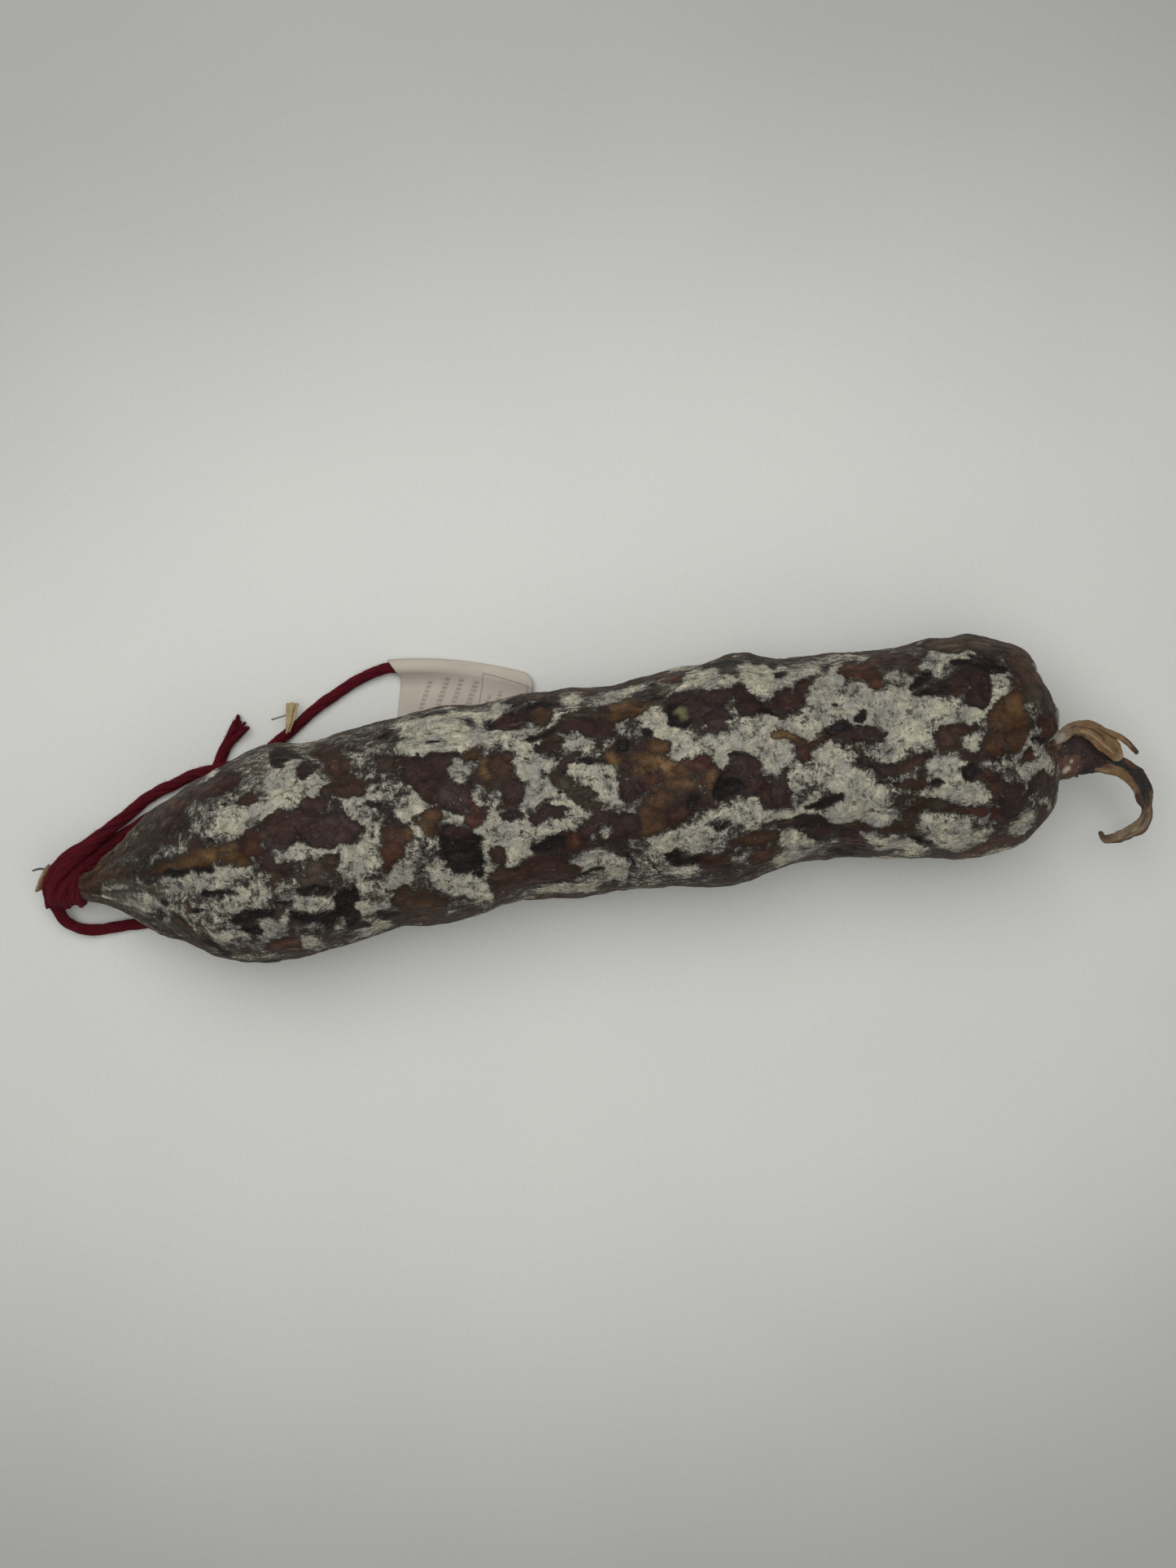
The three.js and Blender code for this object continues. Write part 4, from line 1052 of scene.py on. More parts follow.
    ("k", 3.4, -18, 2, 0.8, 0), ("b", -4.3, -14.2, 1.5, 1, 0), ("k", 8, -16.2, 0.5, 3, -15),
    ("k", 7.4, -13.5, 0.5, 1.2, 0), ("m", 13, -12.7, 3.4, 2, 25), ("m", 11.1, -17.3, 3.4, 2.4, 0),
    ("k", 12.5, -16.6, 2.2, 0.25, -40), ("M", 18.8, -11.5, 6, 2, 5), ("M", 22.6, -13.5, 2.4, 1.6, 0),
    ("k", 16.5, -14.6, 2, 1.4, -30), ("k", 19.9, -15.8, 2.8, 1, -5), ("M", 18, -17.5, 2.6, 0.7, -8),
    ("m", 18.8, -20.4, 5, 0.5, -3), ("M", -8.2, -18.8, 5, 0.7, 0), ("M", -3.2, -18.5, 3, 0.8, 0),
    ("D", 26.5, -16.5, 5.5, 1.8, -3), ("m", 30.7, -16.9, 2.8, 1.6, -15), ("R", 34.2, -16.9, 2.4, 2, 0),
    ("d", 33.4, -13.1, 5, 1.6, 0), ("k", 26.5, -10, 1.4, 2.2, 0), ("k", 29.9, -9.6, 1.8, 1.2, 0),
    ("k", 28.4, -6.5, 2.5, 0.5, 0), ("m", 28, -11.9, 2.4, 1.4, 10), ("M", 32.2, -7.7, 3.4, 2.4, -20),
    ("M", 35.7, -8.5, 3.4, 1.4, -20), ("M", 26.5, -7.5, 3, 0.8, 5), ("M", 32.6, -10.4, 0.8, 1.2, 0),
    ("m", 24.9, -14.2, 2, 1, 0), ("k", 33.4, 22.7, 7, 1.4, 5), ("R", 22.6, 21.5, 3.4, 1, 0),
    ("M", 27.2, 20.8, 3, 1.1, -5), ("M", 30.3, 18.8, 4, 0.9, -12), ("M", 24.5, 19.2, 3, 0.7, -5),
    ("p", 22.6, 16.5, 3.6, 2.4, 0), ("p", 25.7, 13.8, 3.6, 3, -40), ("k", 21.5, 13.8, 2.2, 2.6, 0),
    ("Y", 22.4, 14, 1.2, 1.1, 0), ("p", 30.3, 15.8, 4.4, 2.2, -10), ("p", 28.8, 11.9, 3, 2, 0),
    ("m", 32.6, 12.7, 1.8, 2, 0), ("r", 35.7, 13.1, 2.8, 2, -20), ("r", 34.9, 15.8, 2.6, 1.4, -25),
    ("o", 27.6, 8.5, 2, 1.2, 0), ("M", 38.8, 19.6, 3.8, 3.2, 0), ("M", 39.9, 16.9, 3, 2, 0),
    ("k", 38, 13.5, 0.4, 0.4, 0), ("k", 41.1, 14.2, 1.2, 0.5, 0), ("M", 21.8, 6.5, 3, 1.4, 0),
    ("M", 25.7, 6.9, 4.5, 1.2, -10), ("M", 33.4, 7.3, 6.5, 2.4, 5), ("M", 29.2, 3.5, 2.2, 1.6, 0),
    ("M", 39.2, 3.1, 2.6, 3.6, 0), ("M", 39.5, 9.2, 3, 2, 0), ("k", 32.2, 3.8, 2, 0.5, 0),
    ("k", 39.5, 11.7, 2.6, 0.5, -10),
    # last part of the body
    ("k", 40.3, 22.7, 2.6, 0.6, -15), ("k", 41.8, 21.2, 0.8, 1, 0), ("k", 45.7, 20.4, 1.6, 0.7, 0),
    ("M", 41.8, 17.7, 4.4, 2.6, 0), ("M", 46.8, 18.5, 4, 1.6, 5), ("m", 49.5, 20.8, 4, 0.6, 3),
    ("k", 43, 18.7, 1.8, 0.8, -8), ("k", 53, 21.2, 2.8, 0.6, 0), ("M", 59.5, 21, 4, 0.7, -3),
    ("k", 49.5, 22.1, 4, 0.3, 0), ("r", 51.5, 17.3, 3.2, 1.2, 25), ("r", 47.2, 14.2, 3.4, 2.2, 35),
    ("r", 44.2, 13.1, 3, 2.2, -30), ("r", 43.8, 10.4, 1.6, 1.2, 0), ("M", 52.6, 15.4, 3.2, 2.4, 30),
    ("M", 50.7, 11.9, 3.6, 2.2, 0), ("M", 54.5, 16.5, 1.6, 1.6, 0), ("R", 59.9, 18.1, 5, 1.7, 8),
    ("R", 62.6, 14.6, 3.4, 1.8, -35), ("R", 56.5, 14.6, 1.2, 1.6, -30), ("R", 59.5, 16.2, 3.6, 1.2, 0),
    ("p", 65.7, 18.5, 3, 1.8, 0), ("p", 68.4, 16.9, 3.6, 2.2, -25), ("o", 71.5, 16.2, 2.4, 1.6, 25),
    ("R", 63, 19.6, 6, 0.8, 3), ("m", 66.5, 14.6, 2.6, 1.4, -10), ("m", 68.8, 13.1, 3.6, 1.5, 0),
    ("k", 71.8, 13.8, 3, 0.8, 25), ("k", 70.7, 10.8, 3.4, 0.5, 12), ("M", 62.6, 8.5, 8, 4.2, 0),
    ("M", 68, 5.4, 8, 5, 0), ("M", 58, 12.7, 3.2, 2.4, 0), ("M", 74.5, 6.9, 5, 2.8, 0),
    ("M", 78.8, 5.4, 4.5, 2.2, 0), ("M", 83.4, 6.2, 3.4, 2.6, 0), ("M", 86.8, 10.8, 2, 3.4, 0),
    ("M", 54.5, 11.2, 4, 1.8, 0), ("M", 47.6, 8.5, 4.4, 2.4, -5), ("k", 53.2, 11.8, 0.4, 0.2, 0),
    ("A", 42.2, 6.5, 2.6, 1.2, -20), ("a", 45.7, 4.6, 2.6, 0.8, -15), ("d", 48.8, 4.4, 2.4, 0.35, 5),
    ("b", 51.5, 4.4, 2.2, 0.8, 0), ("k", 52.6, 6.2, 2.6, 1.5, 10), ("k", 54.5, 6.5, 2, 1.2, 0),
    ("k", 58, 8.1, 1.4, 1.2, 0), ("p", 58.4, 4.6, 3.6, 1.9, 0), ("p", 61.1, 3.8, 1.8, 1.4, 0),
    ("m", 60.3, 1.9, 2, 0.8, 0), ("m", 57.2, 1.2, 2.4, 1.2, 0), ("k", 54, 1.9, 0.5, 1.8, 15),
    ("k", 56, -3, 0.5, 2.4, 30), ("p", 59.5, -1.9, 4, 1.4, -18), ("p", 62.6, -3.5, 3.6, 1.6, 0),
    ("b", 67.2, -3.5, 3.8, 2, 5), ("r", 71, -3, 2.6, 1.4, 10), ("b", 66.8, -6.9, 3, 1.2, -5),
    ("k", 61.8, -6.2, 2.4, 0.8, -15), ("m", 65, -5.2, 1.8, 0.25, 10), ("M", 62.2, -0.4, 3, 0.8, -12),
    ("M", 50.7, -0.8, 4, 4.6, 0), ("M", 53.4, -5.4, 3.6, 3.4, 0), ("M", 56.5, -8.5, 4.6, 3, 0),
    ("M", 44.2, -2.7, 2.4, 2.2, 0), ("M", 40.3, 3, 3, 2.6, 0), ("M", 59.5, -12.3, 3.4, 2, 0),
    ("m", 47.2, -0.4, 1.4, 1.6, 0), ("m", 45.7, -5.8, 4, 1.2, 0), ("M", 51.5, -10.8, 4, 1.2, 0),
    ("M", 41.8, -9.2, 3.6, 0.8, 0), ("R", 45.3, 1.9, 1.6, 1.6, 0), ("k", 47.2, -8.1, 3.6, 0.8, 8),
    ("k", 51.1, -7.3, 1.6, 0.8, 0), ("p", 39.9, -5, 2.4, 2.6, 0), ("p", 43.8, -11.9, 6, 1.6, -5),
    ("p", 48, -13.5, 5, 2, -10), ("p", 51.5, -15.8, 3, 2.6, 0), ("k", 49.5, -18.1, 4.5, 1, 0),
    ("m", 48.4, -16, 1.8, 1, 0), ("M", 41.8, -15.8, 3.8, 2.4, -25), ("m", 44.9, -18.1, 2.6, 1.2, 0),
    ("M", 39.2, -18.1, 2, 1, 0), ("b", 54.9, -13.5, 2, 1.1, -35), ("b", 57.2, -15.4, 2.4, 0.9, -20),
    ("b", 61.1, -15.6, 3, 1.1, 8), ("b", 64.9, -13.1, 3.4, 1.2, 30), ("b", 67.6, -11.2, 2.6, 1.2, 10),
    ("o", 71.8, -12.3, 3, 1.1, -20), ("b", 75.7, -13.8, 4, 1, -12), ("R", 80.3, -14.6, 4, 1.6, -8),
    ("R", 84.2, -15.4, 3, 2.4, 0), ("M", 60.7, -17.7, 5, 1.3, -12), ("M", 64.5, -19.6, 3, 1, -8),
    ("k", 66.5, -18.1, 2.4, 0.7, -30), ("k", 69.5, -21.5, 3, 0.8, 0), ("M", 71.8, -15.8, 5, 1.6, -8),
    ("M", 74.5, -18.5, 6, 2.2, -5), ("m", 80.3, -16.5, 3, 1, -10), ("M", 73.8, -4.2, 4, 1.5, -10),
    ("M", 72.6, -6.9, 3, 1.6, 0), ("M", 76.5, -10.4, 5.4, 1.8, -5), ("M", 71.5, -8.8, 2.5, 1, 0),
    ("b", 74.5, 1.5, 2.4, 2.8, 0), ("b", 78, 1.9, 2.8, 1.2, -8), ("b", 78, -1.9, 3, 1.2, -15),
    ("M", 79.9, -0.4, 2, 1.5, 0), ("k", 81.8, 2.3, 1, 0.4, -30), ("k", 78.4, -6.5, 2.4, 1.9, 15),
    ("b", 81.1, -4.6, 1.6, 2, 0), ("D", 82.6, -7.3, 2, 2, 0), ("k", 71, -7.5, 1.6, 0.9, 0),
    ("p", 78.4, 12.7, 4.2, 2, 5), ("p", 82.6, 12.3, 2.6, 2.6, 0), ("p", 82.2, 8.5, 2.6, 2.2, -20),
    ("p", 83.8, 10, 1.2, 3, 0), ("p", 80.3, 8.5, 1.2, 1.6, 0), ("k", 73.8, 11.2, 2.6, 0.8, 0),
    ("M", 74.9, 17.3, 3.4, 1.4, 20), ("M", 79.5, 16.9, 2.5, 0.4, -8), ("M", 81.5, 18.1, 0.8, 0.8, 0),
    ("m", 76.5, 15, 3, 0.8, 10), ("k", 81.1, 15.8, 3.6, 0.8, -18), ("k", 84.2, 16.2, 3, 0.6, -20),
    ("o", 80.3, 20, 8, 1.4, -5), ("o", 86, 18.5, 5, 2, -20), ("k", 86.1, 13.8, 3, 1.2, -20),
    ("d", 88, 3.1, 4.4, 4.4, 30), ("d", 84.9, -0.8, 3.4, 2.4, 15), ("a", 89.5, 5.4, 2.6, 3, 0),
    ("d", 89.2, -0.8, 4, 3, 0), ("m", 85.7, -5.4, 3.6, 1.6, 0), ("m", 87.6, -7.3, 2, 1.6, 0),
    ("M", 90.3, -8.5, 1.8, 2, 0), ("p", 87.2, -14.2, 4, 4, 0), ("m", 89.2, -16.2, 4.4, 0.5, 45),
    ("M", 87.6, -18.9, 2.2, 1, 40), ("R", 78.8, -22.3, 5, 1.2, 0), ("R", 83.4, -21.2, 4, 1.2, 8),
    # blunt end
    ("b", 93.9, 12.1, 3, 6, 0), ("b", 92.4, 14.6, 3, 3, -50), ("o", 88.5, 18.2, 5, 1.6, -30),
    ("o", 93.1, 7.1, 2.6, 3, 0), ("m", 92.8, 4.6, 1.4, 1.6, 0), ("o", 96.4, 5, 1.2, 5, 0),
    ("D", 94.6, 0.7, 2.6, 3.2, -40), ("M", 92.1, -1.1, 1.6, 0.3, 60), ("M", 91, -2.9, 1.4, 0.4, 35),
    ("k", 93.1, -2.1, 1.4, 1.1, 0), ("R", 91.4, -4.6, 2, 1.6, 0), ("M", 93.5, -5.4, 1, 2.6, 20),
    ("M", 91.7, -8.6, 2.6, 1.4, 40), ("p", 92.4, -12.1, 3, 4, 0), ("M", 92.4, -14.6, 0.8, 0.8, 0),
    ("m", 89.6, -14.3, 3.5, 0.5, 52), ("M", 87.4, -18.2, 2.4, 1, 45), ("b", 94.2, -11.1, 1, 2, 0),
    ("o", 90.3, -18.9, 3, 0.6, 40),
    # pale streaks below the far edge
    ("M", -29.1, 20.1, 5.5, 0.4, 4), ("M", -19.1, 20.3, 4.5, 0.5, -3), ("m", -48.6, 18.3, 4, 0.4, 0),
    ("m", -40.6, 16.1, 3, 1, -28), ("M", 10.9, 19.8, 4, 0.4, 16), ("M", 57.4, 20.8, 4, 0.4, -5),
    ("m", 50.9, 21.8, 3.5, 0.3, -4),
]
# Patches on the sides and below, strewn at random with the same kinds and sizes.
hiddenPatches = {
    "seed": 41,
    "count": 620,
    "kinds": "MMMMMMMMMMmmmmmmfkrrpRDbbbbooooadd",
    "length": (1.6, 6.0),
    "width": (0.7, 2.8),
    "lengthwise": (1.6, 1, 1),
    "spill": 2,
}
paintSettings = {
    "outlineHeight": 20,
    "spill": 2.5,
    "warps": [(0.75, 3.6, 11), (0.35, 1.2, 21)],
    "hiddenShift": 50,
    "meatEdge": (-0.3, 0.45),
    "mouldEdge": (-1.5, 0.7),
    "narrowShare": 0.8,
    "crownReach": 1.9,
    "crownShade": (0.55, 1.15),
    "crownRise": (0.25, 1),
    "seenFacing": (0.08, 0.34),
    "paintedRimLight": 1.9,
    "paintedRimLightReach": (0.1, 0.8),
    "coneStart": 84,
    "coneFade": 8,
}
# Bare ground under the patches: its noises by size, seed and octaves, and the range of each.
groundPaint = {
    "kinds": "pb",
    "colourNoise": (7.0, 91, 2),
    "colourRange": (-0.4, 0.5),
    "mould": (-0.62, 0.12),
    "mouldNoise": (5.0, 92, 2),
    "mouldRange": (-0.5, 0.7),
    "gloss": 0.5,
}
# Folds that run down the cone: noises that are slow along it and quick round it.
coneSettings = {
    "reach": (76, 92),
    "rates": (0.1, 4.2),
    "folds": (1.0, 71, 3, 0.6),
    "crease": (-0.16, 0),
    "filmStretch": (0.8, 1.7, 1.7),
    "film": (1.0, 72, 3, 0.7),
    "foldShade": 0.5,
    "creaseShade": 0.35,
    "foldHeight": 0.35,
    "creaseDepth": 0.2,
    "filmAmount": (0.55, 0.3),
    "filmShift": (0.1, 0.35),
    "veilSide": (0, 0.6),
    "veilMould": (-0.6, 0),
}
# Fine relief of the skin, in millimetres, with the noise behind each part.
reliefSettings = {
    "meat": 0.22,
    "mould": 0.18,
    "mouldLumps": (0.7, 0.6),
    "thickMould": (-0.1, 0.8),
    "smoothing": 0.6,
    "wrinkle": 0.16,
    "wrinkleLevel": 0.6,
    "wrinkleMost": 1.3,
    "wrinkleStretch": (0.45, 0.8, 1.5),
    "wrinkles": (2.0, 51, 3, 0.6),
    "lump": 0.22,
    "lumps": (3.4, 61, 3, 0.5),
    "bulge": 0.5,
    "bulges": (9.0, 63, 2, 0.5),
    "fromTip": (-108, -98),
}


def curveThrough(places):
    x, y = np.array(places, float).T
    before = np.maximum(np.arange(len(x)) - 1, 0)
    after = np.minimum(np.arange(len(x)) + 1, len(x) - 1)
    slope = (y[after] - y[before]) / (x[after] - x[before])

    def at(where):
        i = np.clip(np.searchsorted(x, where, side="left") - 1, 0, len(x) - 2)
        span = x[i + 1] - x[i]
        t = np.clip((where - x[i]) / span, 0, 1)
        start = (1 + 2 * t) * (1 - t) ** 2 * y[i] + t * (1 - t) ** 2 * span * slope[i]
        return start + t * t * (3 - 2 * t) * y[i + 1] - t * t * (1 - t) * span * slope[i + 1]

    return at


farEdgeAt, nearEdgeAt, crestAt, bellyAt = map(curveThrough, (farEdge, nearEdge, crest, belly))


def rippleAt(x, angle):
    slow = [
        height * np.sin(along * x + around * angle + phase) for height, along, around, phase in slowWaves
    ]
    total = 0
    for height, along, around, phase, first, second in ripples:
        bent = along * x + around * angle + phase + first * slow[0] + second * slow[1]
        total = total + height * np.sin(bent)
    return total


# Places and outward directions of the skin: along is 0 at the tied point and 1 at the blunt end, and an
# angle of 0 faces +Y and grows upwards.
def bodySkin(along, angle):
    settings = bodySettings
    tipX = farEdge[0][0]
    capLength = settings["endX"] - settings["capStartX"]
    capShare = settings["capRingShare"]
    power = 2 / settings["capPower"]
    swing = np.maximum(0, (along - (1 - capShare)) / capShare) * math.pi / 2
    straight = np.minimum(along / (1 - capShare), 1)
    intoCap = np.sin(swing) ** power
    shrink = np.minimum(along * settings["tipRate"], 1) * np.maximum(np.cos(swing), 0) ** power
    x = tipX + (settings["capStartX"] - tipX) * straight + capLength * intoCap
    far, near, top, bottom = (curve(x) for curve in (farEdgeAt, nearEdgeAt, crestAt, bellyAt))
    outY, outZ = np.cos(angle) * shrink, np.sin(angle) * shrink
    y = (far + near) / 2 + (far - near) / 2 * outY
    z = (top + bottom) / 2 + (top - bottom) / 2 * outZ
    outward = np.stack([intoCap * ((far - near) / 2) / capLength, outY, outZ], axis=-1)
    outward /= np.maximum(np.linalg.norm(outward, axis=-1, keepdims=True), 1e-6)
    relief = rippleAt(x, angle) * smoothStep(x, tipX + settings["tipStart"], tipX + settings["tipEnd"])
    relief = relief * lerp(settings["sideShare"], 1, np.sin(angle) ** 2)
    relief = relief * np.minimum(settings["endRate"] * shrink, 1)
    skin = np.stack([x, y, z], axis=-1)
    for centre, reach, rise in swellings:
        away = (skin - centre) / reach
        relief = relief + rise * np.exp(-(away**2).sum(axis=-1))
    return skin + outward * relief[..., None], outward


# Painting. A layer holds red, green, blue, mould, gloss and rise for every place.
def freshLayer(places):
    layer = np.zeros((len(places), 6))
    dark, brown = (paint(skinKinds[kind][0]) for kind in groundPaint["kinds"])
    mixed = smoothStep(latticeNoise(places, *groundPaint["colourNoise"]), *groundPaint["colourRange"])
    mould = smoothStep(latticeNoise(places, *groundPaint["mouldNoise"]), *groundPaint["mouldRange"])
    layer[:, :3] = lerp(dark, brown, mixed[:, None])
    layer[:, 3] = lerp(*groundPaint["mould"], mould)
    layer[:, 4] = groundPaint["gloss"]
    return layer


def dab(layer, chosen, inside, narrow, kind):
    settings = paintSettings
    low, high = settings["mouldEdge" if kind in mouldAmounts else "meatEdge"]
    weight = smoothStep(inside, low, min(high, narrow * settings["narrowShare"]))[:, None]
    if kind in mouldAmounts:
        layer[chosen, 3:4] = lerp(layer[chosen, 3:4], mouldAmounts[kind], weight)
        return
    colour, gloss, rise = skinKinds[kind]
    # Painted shade and highlight: a meat patch grows darker towards its rim and lighter in its middle, as a
    # lit dome would look.
    crown = smoothStep(inside, 0, settings["crownReach"])[:, None]
    tint = paint(colour) * lerp(*settings["crownShade"], crown)
    layer[chosen, :3] = lerp(layer[chosen, :3], tint, weight)
    layer[chosen, 3:4] = lerp(layer[chosen, 3:4], bareMould, weight)
    layer[chosen, 4:5] = lerp(layer[chosen, 4:5], gloss, weight)
    layer[chosen, 5:6] = lerp(layer[chosen, 5:6], rise * lerp(*settings["crownRise"], crown), weight)


# How far inside a patch a place lies, in millimetres.
def patchInside(u, v, halfLength, halfWidth):
    away = np.hypot(u, v)
    steepness = np.hypot(u / halfLength, v / halfWidth) / np.maximum(away, 1e-6)
    return np.minimum((1 - away) / np.maximum(steepness, 1e-6), min(halfLength, halfWidth))


# The cone has olive casing below its patches.
def dabCone(layer, x):
    inside = (-x - paintSettings["coneStart"]) / paintSettings["coneFade"]
    dab(layer, np.arange(len(x)), inside, 1, "o")


def paintFromAbove(layer, seen):
    dabCone(layer, seen[:, 0])
    for kind, x, y, halfLength, halfWidth, turn in patches:
        reach = halfLength + paintSettings["spill"]
        chosen = np.flatnonzero((abs(seen[:, 0] - x) < reach) & (abs(seen[:, 1] - y) < reach))
        away = seen[chosen] - (x, y)
        c, s = math.cos(math.radians(turn)), math.sin(math.radians(turn))
        u = (away[:, 0] * c + away[:, 1] * s) / halfLength
        v = (away[:, 1] * c - away[:, 0] * s) / halfWidth
        dab(layer, chosen, patchInside(u, v, halfLength, halfWidth), min(halfLength, halfWidth), kind)


def paintHidden(layer, places, outward):
    settings = hiddenPatches
    random = np.random.default_rng(settings["seed"])
    for _ in range(settings["count"]):
        middle = random.integers(len(places))
        kind = random.choice(list(settings["kinds"]))
        halfLength = random.uniform(*settings["length"])
        halfWidth = random.uniform(*settings["width"])
        lengthwise = random.normal(size=3) * settings["lengthwise"]
        lengthwise = unit(lengthwise - outward[middle] * (lengthwise @ outward[middle]))
        reach = halfLength + settings["spill"]
        near = np.flatnonzero(abs(places[:, 0] - places[middle, 0]) < reach)
        away = places[near] - places[middle]
        close = np.linalg.norm(away, axis=1) < reach
        near, away = near[close], away[close]
        u = away @ lengthwise
        v = np.sqrt(np.maximum((away**2).sum(axis=1) - u**2, 0))
        inside = patchInside(u / halfLength, v / halfWidth, halfLength, halfWidth)
        dab(layer, near, inside, min(halfLength, halfWidth), kind)


def gridNormals(rows):
    along = np.gradient(rows, axis=0)
    around = np.roll(rows, -1, axis=1) - np.roll(rows, 1, axis=1)
    normal = np.cross(around, along)
    return normal / np.maximum(np.linalg.norm(normal, axis=-1, keepdims=True), 1e-9)


# Patches seen from above are laid on as the camera sees them. Sides that face away from it get the others.
def paintBody(places, outward):
    settings = paintSettings
    camera = np.array(cameraSettings["place"])
    centre = camera[:2]
    toCamera = camera - places
    facing = (outward * toCamera).sum(axis=1) / np.linalg.norm(toCamera, axis=1)
    warp = np.stack([
        sum(amount * latticeNoise(places, size, seed + axis, 2) for amount, size, seed in settings["warps"])
        for axis in range(3)
    ], axis=-1)
    distance = camera[2] - settings["outlineHeight"]
    seen = centre + (places[:, :2] - centre) * distance / (camera[2] - places[:, 2:])
    above = freshLayer(places)
    paintFromAbove(above, seen + warp[:, :2])
    hidden = freshLayer(places + settings["hiddenShift"])
    paintHidden(hidden, places + warp, outward)
    dabCone(hidden, places[:, 0])
    layer = lerp(hidden, above, smoothStep(facing, *settings["seenFacing"])[:, None])
    # Painted light: sides that face away from the camera are made lighter.
    layer[:, :3] *= lerp(settings["paintedRimLight"], 1, smoothStep(facing, *settings["paintedRimLightReach"]))[:, None]
    return layer


# Adds the folds of the cone to a layer as painted light and shade, and gives their relief and the veil of
# mould between them.
def paintCone(layer, places, across, up):
    settings = coneSettings
    alongRate, roundRate = settings["rates"]
    share = smoothStep(-places[:, 0], *settings["reach"])
    drawn = np.stack([places[:, 0] * alongRate, across * roundRate, up * roundRate], axis=-1)
    folds = latticeNoise(drawn, *settings["folds"]) * share
    crease = share * smoothStep(-abs(folds), *settings["crease"])
    film = latticeNoise(drawn * settings["filmStretch"], *settings["film"]) * share
    # Painted light and shade: raised folds lighter, the creases between them darker.
    layer[:, :3] *= (1 + settings["foldShade"] * folds - settings["creaseShade"] * crease)[:, None]
    veil = share * smoothStep(-across, *settings["veilSide"])
    veil = veil * smoothStep(layer[:, 3], *settings["veilMould"])
    amount, amountFall = settings["filmAmount"]
    shift, shiftFall = settings["filmShift"]
    layer[:, 3] += (amount - amountFall * across) * film + share * (shift - shiftFall * across)
    return folds, crease, veil


def skinRelief(places, mould, rise, folds, crease):
    settings = reliefSettings
    thick = smoothStep(mould, *settings["thickMould"])
    wrinkle = 1 - abs(latticeNoise(places * settings["wrinkleStretch"], *settings["wrinkles"]))
    lumps = latticeNoise(places, *settings["lumps"])
    hidden = settings["smoothing"] * thick
    least, more = settings["mouldLumps"]
    relief = settings["meat"] * rise * (1 - hidden) + settings["mould"] * thick * (least + more * lumps)
    wrinkle = settings["wrinkle"] * (wrinkle - settings["wrinkleLevel"])
    relief = relief + wrinkle * (settings["wrinkleMost"] - hidden)
    relief = relief + settings["lump"] * lumps
    relief = relief + settings["bulge"] * latticeNoise(places, *settings["bulges"])
    relief = relief + coneSettings["foldHeight"] * folds - coneSettings["creaseDepth"] * crease
    return relief * smoothStep(places[:, 0], *settings["fromTip"])


def makeBody():
    settings = bodySettings
    rings, sides = settings["rings"], settings["sides"]
    turn = anglesRound(sides)
    crowded = turn + settings["crownCrowding"] * np.cos(turn)
    along, angle = np.meshgrid(np.arange(1, rings) / rings, crowded, indexing="ij")
    skin, outward = bodySkin(along, angle)
    ends = [bodySkin(np.array(share), np.array(0.0))[0] for share in (0.0, 1.0)]
    normal = gridNormals(skin)
    if (normal * outward).sum() < 0:
        normal = -normal
    places, directions = skin.reshape(-1, 3), normal.reshape(-1, 3)
    layer = paintBody(places, directions)
    folds, crease, veil = paintCone(layer, places, np.cos(angle).ravel(), np.sin(angle).ravel())
    mould, gloss, rise = layer[:, 3], layer[:, 4], layer[:, 5]
    relief = skinRelief(places, mould, rise, folds, crease)
    skin = skin + normal * relief.reshape(skin.shape[:2])[..., None]
    skin[..., 2] = np.maximum(skin[..., 2], 0)
    grid = (rings - 1, sides)
    steep = 1 - directions[:, 2] ** 2
    # meatColour holds the painted light and shade along with the colours of the skin.
    attributes = {
        "meatColour": (layer[0, :3], layer[:, :3].reshape(*grid, 3), layer[-1, :3]),
        "mould": (mould[0], mould.reshape(grid), mould[-1]),
        "gloss": (gloss[0], gloss.reshape(grid), gloss[-1]),
        "steep": (1.0, steep.reshape(grid), 1.0),
        "veil": (0.0, veil.reshape(grid), 0.0),
    }
    fitPiece(closedSkin("sausage_body", skin, ends, attributes, makeSkinMaterial()), "sausage")


